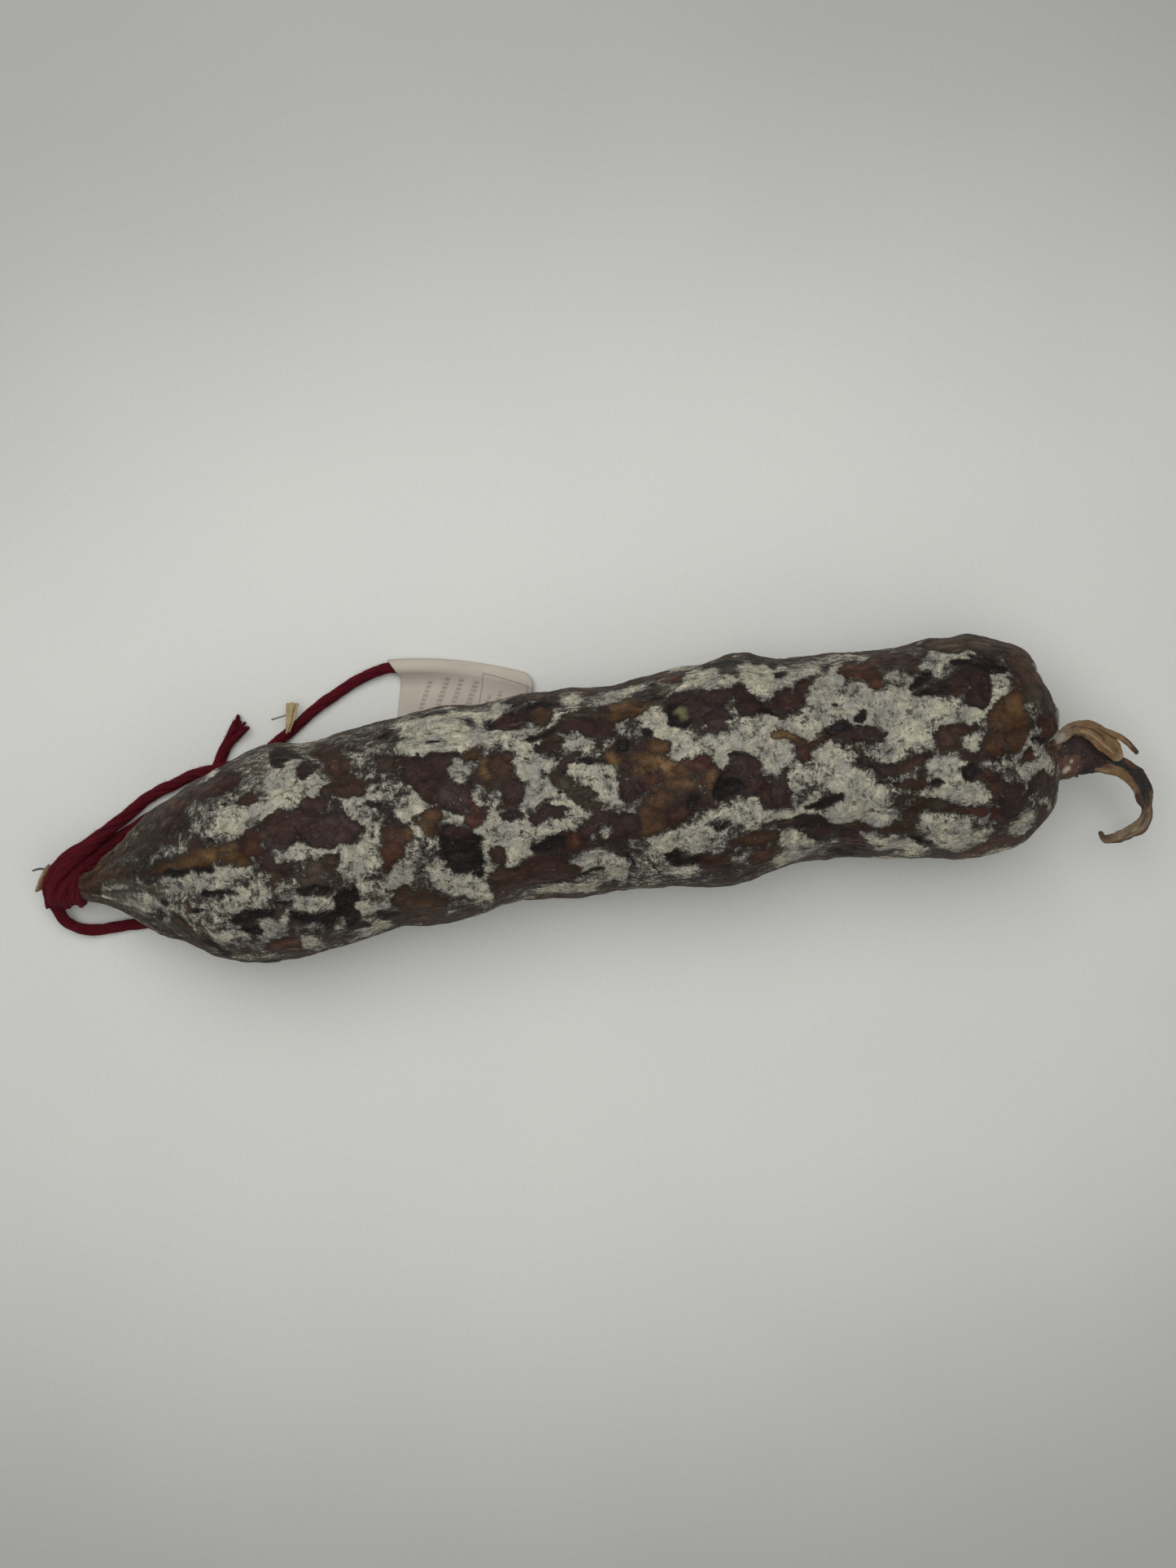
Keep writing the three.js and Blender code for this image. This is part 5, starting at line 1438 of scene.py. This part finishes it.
# How the skin looks. Noises are given by scale, detail and roughness, ranges by the values they run from
# and to. Threads are noises drawn out along one direction: their stretch and turn come before their noise.
skinLook = {
    "mouldCream": (196, 189, 166),
    "mouldGrey": (158, 156, 145),
    "mouldBlue": (94, 91, 85),
    # crease is the colour of painted shade in creases, pits and wrinkle lines; drawn is that of painted
    # highlights on pale wrinkle lines.
    "crease": (17, 14, 13),
    "speck": (130, 116, 102),
    "drawn": (112, 96, 78),
    "vein": (112, 84, 66),
    "bend": (0.35, 2.2),
    "slow": (0.16, 3.0, 0.6),
    "slowShades": (0.3, 0.7, 0.84, 1.14),
    "mottle": (0.7, 4.0, 0.6),
    "mottleShades": (0.3, 0.7, -0.16, 0.16),
    "streak": ((0.2, 0.45, 1.5), (0, 0, 0), 1.2, 5.0, 0.65),
    "wrinkleShadeStreaks": ((0.53, 0.63), (0.15, 0.8, 0.0, 0.35)),
    "wrinkleHighlightStreaks": ((0.44, 0.36), (0.2, 0.8, 0.0, 0.55)),
    "veins": ((0.35, 0.6, 1.2), (0.3, 0.2, 0.4), 1.7, 4.0, 0.6),
    "veinAmount": (0.62, 0.74, 0.0, 0.3),
    "tear": (0.5, 8.0, 0.72),
    "fine": (2.4, 4.0, 0.75),
    "combed": ((0.4, 2.4, 1.3), (0.3, 0.1, 0.5), 1.5, 4.0, 0.7),
    "crossed": ((2.2, 0.4, 1.2), (0.1, 0.4, -0.6), 1.5, 4.0, 0.7),
    "drawnOut": ((0.45, 0.8, 1.5), (0, 0, 0), 0.8, 7.0, 0.7),
    "drawnWhereSteep": (0.25, 0.8, 0.0, 0.8),
    "edges": [
        (0.25, 0.75, -1.5, 1.5, "LINEAR"), (0.25, 0.75, -0.5, 0.5, "LINEAR"),
        (0.3, 0.8, -0.5, 0.5, "LINEAR"),
    ],
    "veilShades": (0.3, 0.7, 0.5, 1.0),
    "thin": (-0.6, 0.3),
    "thinAmount": 0.62,
    "thick": (0.15, 0.9),
    "grain": (4.5, 4.0, 0.8),
    "cloudy": (0.2, 4.0, 0.6),
    "cloudyShades": (0.35, 0.65),
    "puffs": (0.9, 5.0, 0.65),
    "woolShades": (0.4, 0.72, 0.7, 1.16, "LINEAR"),
    "puffShades": (0.33, 0.67, 0.68, 1.14),
    "paintedSteepLight": (0.3, 0.95, 1.0, 1.3),
    "wool": (0.6, 0.5),
    "dust": (3.4, 3.0, 0.6),
    "dustShades": (0.66, 0.74),
    "dustOnPuffs": (0.48, 0.6, 0.1, 0.75),
    "pits": (1.1, 4.0, 0.7),
    "pitShades": (0.6, 0.68),
    "pitAmount": (0.12, 0.5),
    "lineAmount": 0.6,
    "roughness": {"meat": 0.86, "gloss": 0.62, "mould": 0.93},
    "heights": {"grain": 0.7, "puffs": 1.4, "mould": 0.3, "mottle": 0.5, "folds": 0.6, "streaks": 0.35},
    "streakHeight": (0.45, 0.7),
    "bump": (0.85, 0.00045),
}


def makeSkinMaterial():
    look = skinLook
    material, tree, shader = startMaterial("mouldyCasing")
    where = millimetrePlaces(tree)
    field = attribute(tree, "mould")
    steep = attribute(tree, "steep")
    bent = warped(tree, where, *look["bend"])

    def grained(places, key):
        return noise(tree, places, *look[key])

    def ranged(value, key):
        return spread(tree, value, *look[key])

    def threads(key):
        stretch, turn, *settings = look[key]
        return noise(tree, stretched(tree, bent, stretch, turn), *settings)

    def shadedBy(colour, value, key):
        return shaded(tree, colour, ranged(value, key))

    def tinted(colour, amount, key):
        return mixColour(tree, amount, colour, srgb(*look[key]))

    # Meat: slow mottling, painted shade and painted highlights along wrinkle streaks on steep sides, and
    # veins.
    mottle = grained(bent, "mottle")
    shade = plus(tree, ranged(grained(where, "slow"), "slowShades"), ranged(mottle, "mottleShades"))
    meat = shaded(tree, attribute(tree, "meatColour", "Color"), shade)
    streak = threads("streak")
    wrinkleShadeLines, wrinkleHighlightLines = (
        times(tree, spread(tree, streak, *look[key][0]), spread(tree, steep, *look[key][1]))
        for key in ("wrinkleShadeStreaks", "wrinkleHighlightStreaks")
    )
    meat = tinted(tinted(meat, wrinkleShadeLines, "crease"), wrinkleHighlightLines, "drawn")
    meat = tinted(meat, ranged(threads("veins"), "veinAmount"), "vein")

    # Mould: a field painted per place, torn by noise into feathery edges, pinholes and hairs.
    tear, fine = grained(bent, "tear"), grained(bent, "fine")
    hair = larger(tree, threads("combed"), threads("crossed"))
    drawn = ranged(steep, "drawnWhereSteep")
    tear = plus(tree, tear, times(tree, minus(tree, threads("drawnOut"), tear), drawn))
    edge = field
    for value, amount in zip((tear, fine, hair), look["edges"]):
        edge = plus(tree, edge, spread(tree, value, *amount))
    veil = times(tree, attribute(tree, "veil"), ranged(fine, "veilShades"))
    thin = larger(tree, ranged(edge, "thin"), veil)

    # Thick mould is cream and woolly, thin mould a bluish film.
    grain, puffs = grained(where, "grain"), grained(bent, "puffs")
    woolly = plus(tree, times(tree, grain, look["wool"][0]), times(tree, hair, look["wool"][1]))
    cloudy = ranged(grained(where, "cloudy"), "cloudyShades")
    cream = tinted(srgb(*look["mouldGrey"]), cloudy, "mouldCream")
    cream = shadedBy(cream, woolly, "woolShades")
    cream = shadedBy(cream, puffs, "puffShades")
    # Painted light: thick mould is made lighter on steep sides.
    cream = shadedBy(cream, steep, "paintedSteepLight")
    film = tinted(srgb(*look["mouldBlue"]), woolly, "mouldGrey")
    colour = mixColour(tree, times(tree, thin, look["thinAmount"]), meat, film)
    colour = mixColour(tree, ranged(edge, "thick"), colour, cream)

    # Pale dust over everything, and painted shade in pits and along the wrinkle folds.
    dust = ranged(grained(where, "dust"), "dustShades")
    colour = tinted(colour, times(tree, dust, ranged(puffs, "dustOnPuffs")), "speck")
    least, onMould = look["pitAmount"]
    pits = ranged(grained(bent, "pits"), "pitShades")
    pits = times(tree, pits, plus(tree, least, times(tree, thin, onMould)))
    folds = larger(tree, pits, times(tree, wrinkleShadeLines, look["lineAmount"]))
    tree.links.new(tinted(colour, folds, "crease"), shader.inputs["Base Color"])

    rough, heights = look["roughness"], look["heights"]
    bare = minus(tree, rough["meat"], times(tree, attribute(tree, "gloss"), rough["gloss"]))
    roughness = plus(tree, bare, times(tree, minus(tree, rough["mould"], bare), thin))
    tree.links.new(roughness, shader.inputs["Roughness"])
    setSockets(shader, {"Specular IOR Level": 0.14})
    height = plus(tree, times(tree, grain, heights["grain"]), times(tree, puffs, heights["puffs"]))
    height = times(tree, plus(tree, heights["mould"], height), thin)
    height = plus(tree, height, times(tree, mottle, heights["mottle"]))
    height = minus(tree, height, times(tree, folds, heights["folds"]))
    height = minus(tree, height, times(tree, ranged(streak, "streakHeight"), heights["streaks"]))
    bumped(tree, shader, height, *look["bump"])
    return material


makeBody()
print("body made")

# Strips of dried casing: paths with a width, a thickness and a roll along them. Their colours are given as
# places along the strip, and gutter says how far the section bends.
strips = {
    "tail_neck": {
        "points": [
            (90, -5.4, 20), (96, -6.3, 20.4), (99.7, -5.6, 20.8), (102.6, -6.8, 20.6), (105.8, -8.3, 20),
        ],
        "width": [9, 7.8, 9.2, 6.8, 3.6],
        "thickness": [7, 4.8, 3.8, 3.0, 1.8],
        "roll": [0, 0.05, 0.1, 0.1, 0.1],
        "gutter": 0.1,
        "rough": 0.5,
        "colours": [
            (0, "brown"), (0.3, "rust"), (0.55, "rust"), (0.72, "darkRed"), (0.9, "maroon"), (1, "black"),
        ],
        "dabs": [
            (0.6, -0.35, 0.2, 0.5, "maroon"), (0.76, -0.1, 0.2, 0.6, "maroon"),
            (0.45, -0.75, 0.07, 0.2, "amberLight"), (0.55, 0.3, 0.12, 0.3, "rust"),
            (0.8, 0.85, 0.08, 0.3, "black"), (0.44, 0.5, 0.03, 0.12, "white"),
            (0.41, 0.66, 0.02, 0.1, "white"), (0.62, 0.6, 0.012, 0.03, "white"),
            (0.55, 0.05, 0.012, 0.03, "white"), (0.51, 0.25, 0.015, 0.03, "white"),
            (0.68, 0.2, 0.012, 0.04, "white"), (0.58, 0.45, 0.02, 0.03, "tan"),
            (0.9, 0.75, 0.03, 0.12, "white"), (0.97, 0.85, 0.06, 0.4, "paleTan"),
        ],
        "sides": 48,
        "seed": 3,
    },
    "tail_hook": {
        "points": [
            (101.5, -6, 20.4), (105.2, -8.1, 20.2), (108.7, -9.4, 19.8), (111.2, -11.3, 19.2),
            (112.9, -13.7, 18.5), (113.5, -16.2, 17.9), (113.9, -18.2, 17.4), (113.6, -20.6, 17.0),
            (112.2, -22.2, 16.8), (110.3, -23.0, 16.6), (108.2, -23.6, 16.3), (106.3, -23.9, 16.1),
            (104.8, -23.5, 16.1), (104.2, -22.3, 16.5),
        ],
        "width": [5.2, 4.4, 4.3, 4.7, 4.8, 4.7, 3.0, 3.1, 3.2, 2.8, 2.3, 1.9, 1.5, 1.2],
        "thickness": [2.4, 2.0, 1.8, 1.6, 1.5, 1.5, 1.6, 1.3, 1.3, 1.2, 1.2, 1.1, 1.0, 0.9],
        "roll": [0.1, 0.2, 0.3, 0.3, 0.4, 0.4, 0.6, 0.5, 0.4, 0.3, 0.2, 0.2, 0.2, 0.2],
        "gutter": 0.3,
        "rough": 0.45,
        "colours": [
            (0, "maroon"), (0.1, "amberLight"), (0.2, "tan"), (0.5, "amberLight"), (0.56, "brown"),
            (0.62, "dryTan"), (0.9, "dryTan"), (0.95, "brown"), (1, "brown"),
        ],
        "dabs": [
            (0.24, -0.6, 0.14, 0.7, "black"), (0.36, -0.35, 0.15, 0.66, "black"),
            (0.46, -0.1, 0.1, 0.42, "black"), (0.55, 0.15, 0.05, 0.16, "black"),
            (0.51, 0.9, 0.06, 0.4, "darkRed"), (0.15, 0.2, 0.04, 0.4, "amber"),
            (0.3, -0.75, 0.04, 0.2, "amber"), (0.66, -0.9, 0.12, 0.25, "brown"),
            (0.82, -0.95, 0.12, 0.3, "brown"), (0.66, 0.4, 0.05, 0.3, "grey"),
            (0.76, 0.1, 0.04, 0.3, "paleTan"), (0.58, -0.7, 0.05, 0.25, "amberLight"),
        ],
        "sides": 32,
        "seed": 5,
    },
    "tail_flap": {
        "points": [
            (94.4, -3.0, 21.6), (96.6, -1.7, 22.7), (99.5, -0.4, 23.4), (102.7, -1.3, 23.4),
            (105.5, -3.9, 22.8), (107.3, -5.9, 22.1), (108.3, -7.2, 21.5), (108.6, -7.8, 21.3),
        ],
        "width": [2.0, 2.3, 3.0, 4.3, 4.6, 3.6, 2.6, 1.5],
        "thickness": [1.8, 1.5, 1.3, 1.1, 1.0, 0.9, 0.8, 0.7],
        "roll": [0.2, 0.25, 0.3, 0.3, 0.3, 0.2, 0.2, 0.2],
        "gutter": 0.3,
        "rough": 0.4,
        "colours": [
            (0, "brown"), (0.12, "paleTan"), (0.26, "dryTan"), (0.36, "tan"), (0.9, "tan"), (1, "paleTan"),
        ],
        "dabs": [
            (0.35, 0.9, 0.1, 0.2, "brown"), (0.16, 0.2, 0.05, 0.5, "white"),
            (0.5, -0.2, 0.2, 0.08, "brown"), (0.62, 0.3, 0.25, 0.07, "paleTan"),
            (0.8, -0.4, 0.2, 0.07, "brown"), (0.45, 0.1, 0.15, 0.06, "paleTan"),
        ],
        "sides": 36,
        "seed": 8,
    },
    "tail_shred": {
        "points": [
            (104.6, -0.8, 23.4), (107, -2.3, 23.1), (109.2, -3.8, 22.8), (110.9, -5.6, 22.2),
            (112, -7.0, 21.8),
        ],
        "width": [0.8, 1.2, 1.3, 1.2, 0.9],
        "thickness": [0.7, 0.8, 0.8, 0.8, 0.7],
        "roll": [0.2, 0.2, 0.2, 0.2, 0.2],
        "gutter": 0.2,
        "rough": 0.2,
        "colours": [(0, "tan"), (0.6, "tan"), (0.85, "brown"), (1, "brown")],
        "dabs": [(0.7, -0.6, 0.2, 0.3, "brown")],
        "sides": 16,
        "seed": 9,
    },
    "tied_neck": {
        "points": [
            (-102.5, -4.2, 11.1), (-105, -4.2, 10.3), (-107.8, -3.9, 9.5), (-111, -3.1, 8.9),
            (-113.2, -2.2, 8.8), (-114.6, -1.4, 8.9),
        ],
        "width": [7.8, 6.4, 4.6, 3.8, 4.0, 4.2],
        "thickness": [5.8, 5.2, 4.2, 3.4, 3, 2.8],
        "roll": [0, 0, 0, 0, 0, 0],
        "gutter": 0.0,
        "rough": 0.4,
        "colours": [(0, "olive"), (0.5, "brown"), (0.8, "brown"), (1, "tan")],
        "sides": 32,
        "seed": 12,
    },
    "tied_shred": {
        "points": [(-116.7, 0.8, 9.6), (-115.3, 1.0, 10.0), (-113.4, 0.7, 9.8)],
        "width": [0.35, 0.45, 0.45],
        "thickness": [0.3, 0.4, 0.4],
        "roll": [0, 0, 0],
        "gutter": 0.0,
        "rough": 0.15,
        "colours": [(0, "grey"), (1, "grey")],
        "sides": 10,
        "seed": 14,
    },
}
stripColours = {
    "brown": (70, 48, 32),
    "amber": (80, 50, 30),
    "maroon": (46, 27, 22),
    "black": (26, 22, 20),
    "tan": (116, 88, 56),
    "paleTan": (150, 130, 100),
    "dryTan": (108, 90, 66),
    "grey": (78, 72, 66),
    "olive": (70, 58, 46),
    "rust": (84, 53, 38),
    "darkRed": (56, 28, 24),
    "amberLight": (98, 74, 48),
    "white": (166, 158, 140),
    "strawPale": (166, 146, 106),
    "strawGrey": (120, 112, 100),
}
# Dry casing and straw: fibres along the piece, blotches and pale flecks. Of each material: how strongly its
# fibres show, and how rough it is.
dryLook = {
    "materials": {"driedCasing": (0.42, 0.5), "dryStraw": (0.22, 0.55)},
    "fibre": (2.4, 4.0, 0.65),
    "fibreRange": (0.28, 0.72),
    "blotch": (0.5, 3.0),
    "blotchShades": (0.3, 0.7, -0.2, 0.16),
    "paleFibres": (0.66, 0.78),
    "paleFibre": (190, 170, 140),
    "paleAmount": 0.35,
    "flecks": (1.8, 2.0),
    "fleckRange": (0.7, 0.74),
    "fleck": (190, 180, 160),
    "fleckAmount": 0.5,
    "bump": (0.9, 0.0003),
}
# How the noises of a strip are drawn out along it, and how their values are used.
stripSettings = {
    "step": 0.35,
    "alongShare": 0.35,
    "ridges": (1.6, 3, 0.6),
    "drift": (0.5, 0.06),
    "dabEdge": (1.3, 0.3),
    "dabReach": (-1.15, -0.8),
    "dabSide": (-0.3, 0.1),
    "fibreAlong": 0.3,
    "fibreAcross": 1.6,
}


def stripSection(strip):
    line, travelled = smoothRoute(strip["points"], stripSettings["step"])
    share = travelled / travelled[-1]
    knots = wayAlong(strip["points"])
    knots /= knots[-1]
    width, thickness, roll = (np.interp(share, knots, strip[key]) for key in ("width", "thickness", "roll"))
    tangent = unitRows(np.gradient(line, axis=0))
    across = unitRows(np.cross(tangent, (0, 0, 1.0)))
    over = np.cross(across, tangent)
    c, s = np.cos(roll)[:, None], np.sin(roll)[:, None]
    return line, share, travelled, width, thickness, across * c + over * s, over * c - across * s


# Colours between stops, each a place and the name of a colour.
def blendStops(where, stops, names):
    channels = np.array([paint(stripColours[name]) for name in names])
    return np.stack([np.interp(where, stops, channels[:, channel]) for channel in range(3)], axis=-1)


def makeStrip(name, material, node="sausage"):
    settings, strip = stripSettings, strips[name]
    seed = strip["seed"]
    line, share, travelled, width, thickness, across, over = stripSection(strip)
    angle = anglesRound(strip["sides"])
    side, up = np.cos(angle)[None, :, None], np.sin(angle)[None, :, None]
    bend = strip["gutter"] * (side**2 - 0.5) * width[:, None, None] / 2
    rows = line[:, None] + across[:, None] * side * width[:, None, None] / 2
    rows = rows + over[:, None] * (up * thickness[:, None, None] / 2 + bend)
    stretch = np.stack([
        np.broadcast_to(travelled[:, None] * settings["alongShare"], rows.shape[:2]),
        width[:, None] * side[..., 0] / 2,
        thickness[:, None] * up[..., 0] / 2,
    ], axis=-1)
    rate, octaves, fall = settings["ridges"]
    ridges = latticeNoise(stretch * rate + seed, 1.0, seed, octaves, fall)
    rows = rows + (across[:, None] * side + over[:, None] * up) * (ridges * strip["rough"] * 0.5)[..., None]
    point = strip.get("point", 1)
    ends = [line[0] - point * (line[1] - line[0]), line[-1] + point * (line[-1] - line[-2])]

    # Colours run along the strip, and dabs lie over them on its upper side.
    rate, amount = settings["drift"]
    drift = share[:, None] + amount * latticeNoise(stretch * rate, 1.0, seed + 40, 2)
    colour = blendStops(drift, *zip(*strip["colours"]))
    rate, amount = settings["dabEdge"]
    edgeNoise = amount * latticeNoise(stretch * rate, 1.0, seed + 41, 3, 0.6)
    for shareThere, sideThere, halfShare, halfSide, kind in strip.get("dabs", []):
        away = np.hypot((share[:, None] - shareThere) / halfShare, (side[..., 0] - sideThere) / halfSide)
        covered = smoothStep(-(away + edgeNoise), *settings["dabReach"])
        covered = covered * smoothStep(up[..., 0], *settings["dabSide"])
        colour = lerp(colour, paint(stripColours[kind]), covered[..., None])
    fibres = rows * 0
    fibres[..., 0] = travelled[:, None] * settings["fibreAlong"]
    fibres[..., 1] = (width[:, None] * side[..., 0] / 2) * settings["fibreAcross"]
    fibres[..., 2] = thickness[:, None] * up[..., 0]
    attributes = {
        "meatColour": (colour[0, 0], colour, colour[-1, 0]),
        "fibrePlace": (fibres[0, 0], fibres, fibres[-1, 0]),
    }
    piece = closedSkin(name, rows, ends, attributes, material)
    fitPiece(piece, node)
    return piece


def makeDryMaterial(name):
    look = dryLook
    contrast, rough = look["materials"][name]
    material, tree, shader = startMaterial(name)
    where = millimetrePlaces(tree)
    fibre = noise(tree, attribute(tree, "fibrePlace", "Vector"), *look["fibre"])
    blotch = noise(tree, where, *look["blotch"])
    shade = spread(tree, fibre, *look["fibreRange"], 1 - contrast, 1 + contrast, "LINEAR")
    shade = plus(tree, shade, spread(tree, blotch, *look["blotchShades"]))
    colour = shaded(tree, attribute(tree, "meatColour", "Color"), shade)
    pale = times(tree, spread(tree, fibre, *look["paleFibres"]), look["paleAmount"])
    colour = mixColour(tree, pale, colour, srgb(*look["paleFibre"]))
    flecks = spread(tree, noise(tree, where, *look["flecks"]), *look["fleckRange"])
    flecks = times(tree, flecks, look["fleckAmount"])
    colour = mixColour(tree, flecks, colour, srgb(*look["fleck"]))
    tree.links.new(colour, shader.inputs["Base Color"])
    setSockets(shader, {"Roughness": rough})
    bumped(tree, shader, plus(tree, fibre, times(tree, blotch, 0.5)), *look["bump"])
    return material


# The open end of the tied casing. Its profile gives a share of its radius, a place along its axis and a
# colour, from outside over the rim to the core.
lipSettings = {
    "middle": (-115.2, -1.0, 8.9),
    "axis": (-0.84, 0.54, 0.12),
    "width": 5.4,
    "thickness": 3.8,
    "profile": [
        (0.72, -1.9, "brown"), (0.84, -0.9, "brown"), (0.96, -0.2, "tan"), (1, 0.15, "paleTan"),
        (0.94, 0.3, "paleTan"), (0.82, 0.1, "tan"), (0.66, -0.4, "brown"), (0.4, -0.7, "black"),
        (0.15, -0.8, "black"),
    ],
    "steps": 4,
    "sides": 40,
    "rough": 0.28,
    "noiseStretch": (1.1, 1.1, 0.5),
    "fibreStretch": (1.5, 1.5, 0.6),
    "seed": 16,
}


def makeLip(material):
    settings = lipSettings
    axis = unit(np.array(settings["axis"]))
    across, over = squareTo(axis)
    shares, places, names = zip(*settings["profile"])
    last = len(names) - 1
    steps = np.linspace(0, last, settings["steps"] * last + 1)
    radius, place = (np.interp(steps, range(last + 1), values) for values in (shares, places))
    colour = blendStops(steps, range(last + 1), names)
    angle = anglesRound(settings["sides"])
    shape = (len(steps), len(angle))
    around = (np.cos(angle), np.sin(angle), place[:, None])
    ringed = np.stack([np.broadcast_to(value, shape) for value in around], axis=-1)
    lumps = latticeNoise(ringed * settings["noiseStretch"], 1.0, settings["seed"], 3, 0.6)
    away = radius[:, None] * (1 + settings["rough"] * lumps)
    rows = np.array(settings["middle"]) + axis * place[:, None, None]
    rows = rows + across * (np.cos(angle) * away * settings["width"] / 2)[..., None]
    rows = rows + over * (np.sin(angle) * away * settings["thickness"] / 2)[..., None]
    fibres = ringed * settings["fibreStretch"]
    ends = [rows[0].mean(axis=0), rows[-1].mean(axis=0)]
    attributes = {
        "meatColour": (colour[0], np.broadcast_to(colour[:, None], rows.shape), colour[-1]),
        "fibrePlace": (fibres[0, 0], fibres, fibres[-1, 0]),
    }
    fitPiece(closedSkin("tied_lip", rows, ends, attributes, material), "sausage")


dryCasing = makeDryMaterial("driedCasing")
for stripName in strips:
    makeStrip(stripName, dryCasing)
makeLip(dryCasing)
print("tail and tied end made")

# Straws are strips too. Each has its foot, its tip, its width and its colour.
straws = [
    ((-61.2, 22.2, 3.0), (-59.6, 28.5, 4.5), 1.05, "strawPale"),
    ((-60.9, 22.5, 3.2), (-58.6, 28.5, 4.9), 1.1, "strawPale"),
    ((-60.6, 22.4, 3.0), (-57.7, 28.2, 4.3), 1.05, "strawPale"),
    ((-59.9, 24.6, 3.6), (-58.9, 27.6, 5.0), 0.6, "strawPale"),
    ((-59.8, 26.2, 3.9), (-63.8, 25.6, 3.6), 0.34, "strawGrey"),
]
strawSettings = {
    "footWidth": 0.3,
    "middleLift": (0.1, 0, 0.15),
    "seed": 60,
    "shape": {
        "thickness": [0.28, 0.28, 0.28],
        "roll": [0, 0.2, 0.3],
        "gutter": 0.3,
        "rough": 0.08,
        "point": 0.2,
        "sides": 14,
    },
}


def makeStraws():
    material = makeDryMaterial("dryStraw")
    footWidth = strawSettings["footWidth"]
    pieces = []
    for number, (foot, tip, width, colour) in enumerate(straws):
        middle = tuple((a + b) / 2 + lift for a, b, lift in zip(foot, tip, strawSettings["middleLift"]))
        name = "straw_" + str(number + 1)
        strips[name] = strawSettings["shape"] | {
            "points": [foot, middle, tip],
            "width": [footWidth, (footWidth + 2 * width) / 3, width],
            "colours": [(0, colour), (1, colour)],
            "seed": strawSettings["seed"] + number,
        }
        pieces.append(makeStrip(name, material, "straw_wisp"))
    return pieces


strawPieces = makeStraws()
labelPiece = makeLabel()
print("label and straws made")

# The knot: turns round the tied neck, with strands across it that lead to the strings.
knotSettings = {
    "start": (-107.0, -4.5, 9.4),
    "end": (-112.6, -2.9, 8.7),
    "turns": 2.6,
    "radius": 2.55,
    "bulge": 0.2,
    "lean": 1.1,
    "steps": 60,
    "looseness": 0.2,
    "seed": 71,
    "strands": [
        [
            (-113.9, -6.8, 6.0), (-113.2, -5.2, 10.6), (-111.6, -2.6, 12.8), (-109.7, 0.0, 12.4),
            (-107.8, 2.2, 10.8), (-105.6, 3.9, 8.6), (-103.4, 5.5, 6.6),
        ],
        [
            (-112.0, -7.3, 6.0), (-111.4, -5.8, 10.2), (-109.9, -3.6, 12.6), (-108.0, -1.4, 11.2),
            (-106.4, 0.2, 8.8), (-104.6, 1.8, 6.2),
        ],
        [
            (-114.4, -5.2, 8.6), (-113.4, -2.6, 11.0), (-111.9, -0.1, 11.4), (-110.0, 1.8, 10.6),
            (-107.7, 3.5, 9.2), (-105.2, 4.9, 7.6), (-102.8, 6.5, 5.9),
        ],
        [
            (-113.2, -6.4, 8.6), (-112.2, -4.2, 12.2), (-110.5, -1.6, 13.2), (-108.7, 0.6, 12.2),
            (-106.8, 2.3, 9.8), (-104.6, 3.9, 7.2),
        ],
        [(-111.4, -4.4, 5.2), (-113.2, -5.8, 6.0), (-114.9, -6.3, 6.7), (-116.0, -6.4, 7.2)],
        [(-112.6, -5.6, 5.4), (-114.2, -6.9, 6.0), (-115.4, -7.4, 6.2)],
    ],
}


def makeKnot():
    settings = knotSettings
    start, end = np.array(settings["start"]), np.array(settings["end"])
    axis = unit(end - start)
    side, over = squareTo(axis)
    share = np.linspace(0, 1, settings["steps"])[:, None]
    turn = fullTurn * settings["turns"] * share
    reach = settings["radius"] + settings["bulge"] * np.sin(math.pi * share)
    winding = start + (end - start) * share + (side * np.cos(turn) + over * np.sin(turn)) * reach
    winding = winding + axis * settings["lean"] * np.cos(turn)
    yarns = [
        yarnLines(path, settings["seed"] + number, looseness=settings["looseness"])[2]
        for number, path in enumerate([winding, *settings["strands"]])
    ]
    for name, chosen in {"string_knot_turns": yarns[:1], "string_knot_strands": yarns[1:]}.items():
        piece = makeYarnPiece(name, [yarn for bundle in chosen for yarn in bundle], settings["seed"])
        fitPiece(piece, "string_knot")
    print("knot made")


makeKnot()
makeString(
    "label_string", labelStringRoute, 21, "object", [labelPiece, *strawPieces],
    flareStart=0.5, startLength=34.0
)
frayedTip = makeYarnPiece(
    "frayed_tip", tuftLines(frayedStringRoute, 25), 26,
    tuftSettings["radius"], tuftSettings["fibresPerMillimetre"]
)
fitPiece(frayedTip, "frayed_string")
makeString(
    "frayed_string", frayedStringRoute, 22, "bare", [frayedTip],
    flareStart=0.5, startLength=30.0, flareEnd=0.55, flareLength=3.5
)
makeString("hanging_loop", hangingLoopRoute, 23, "object")
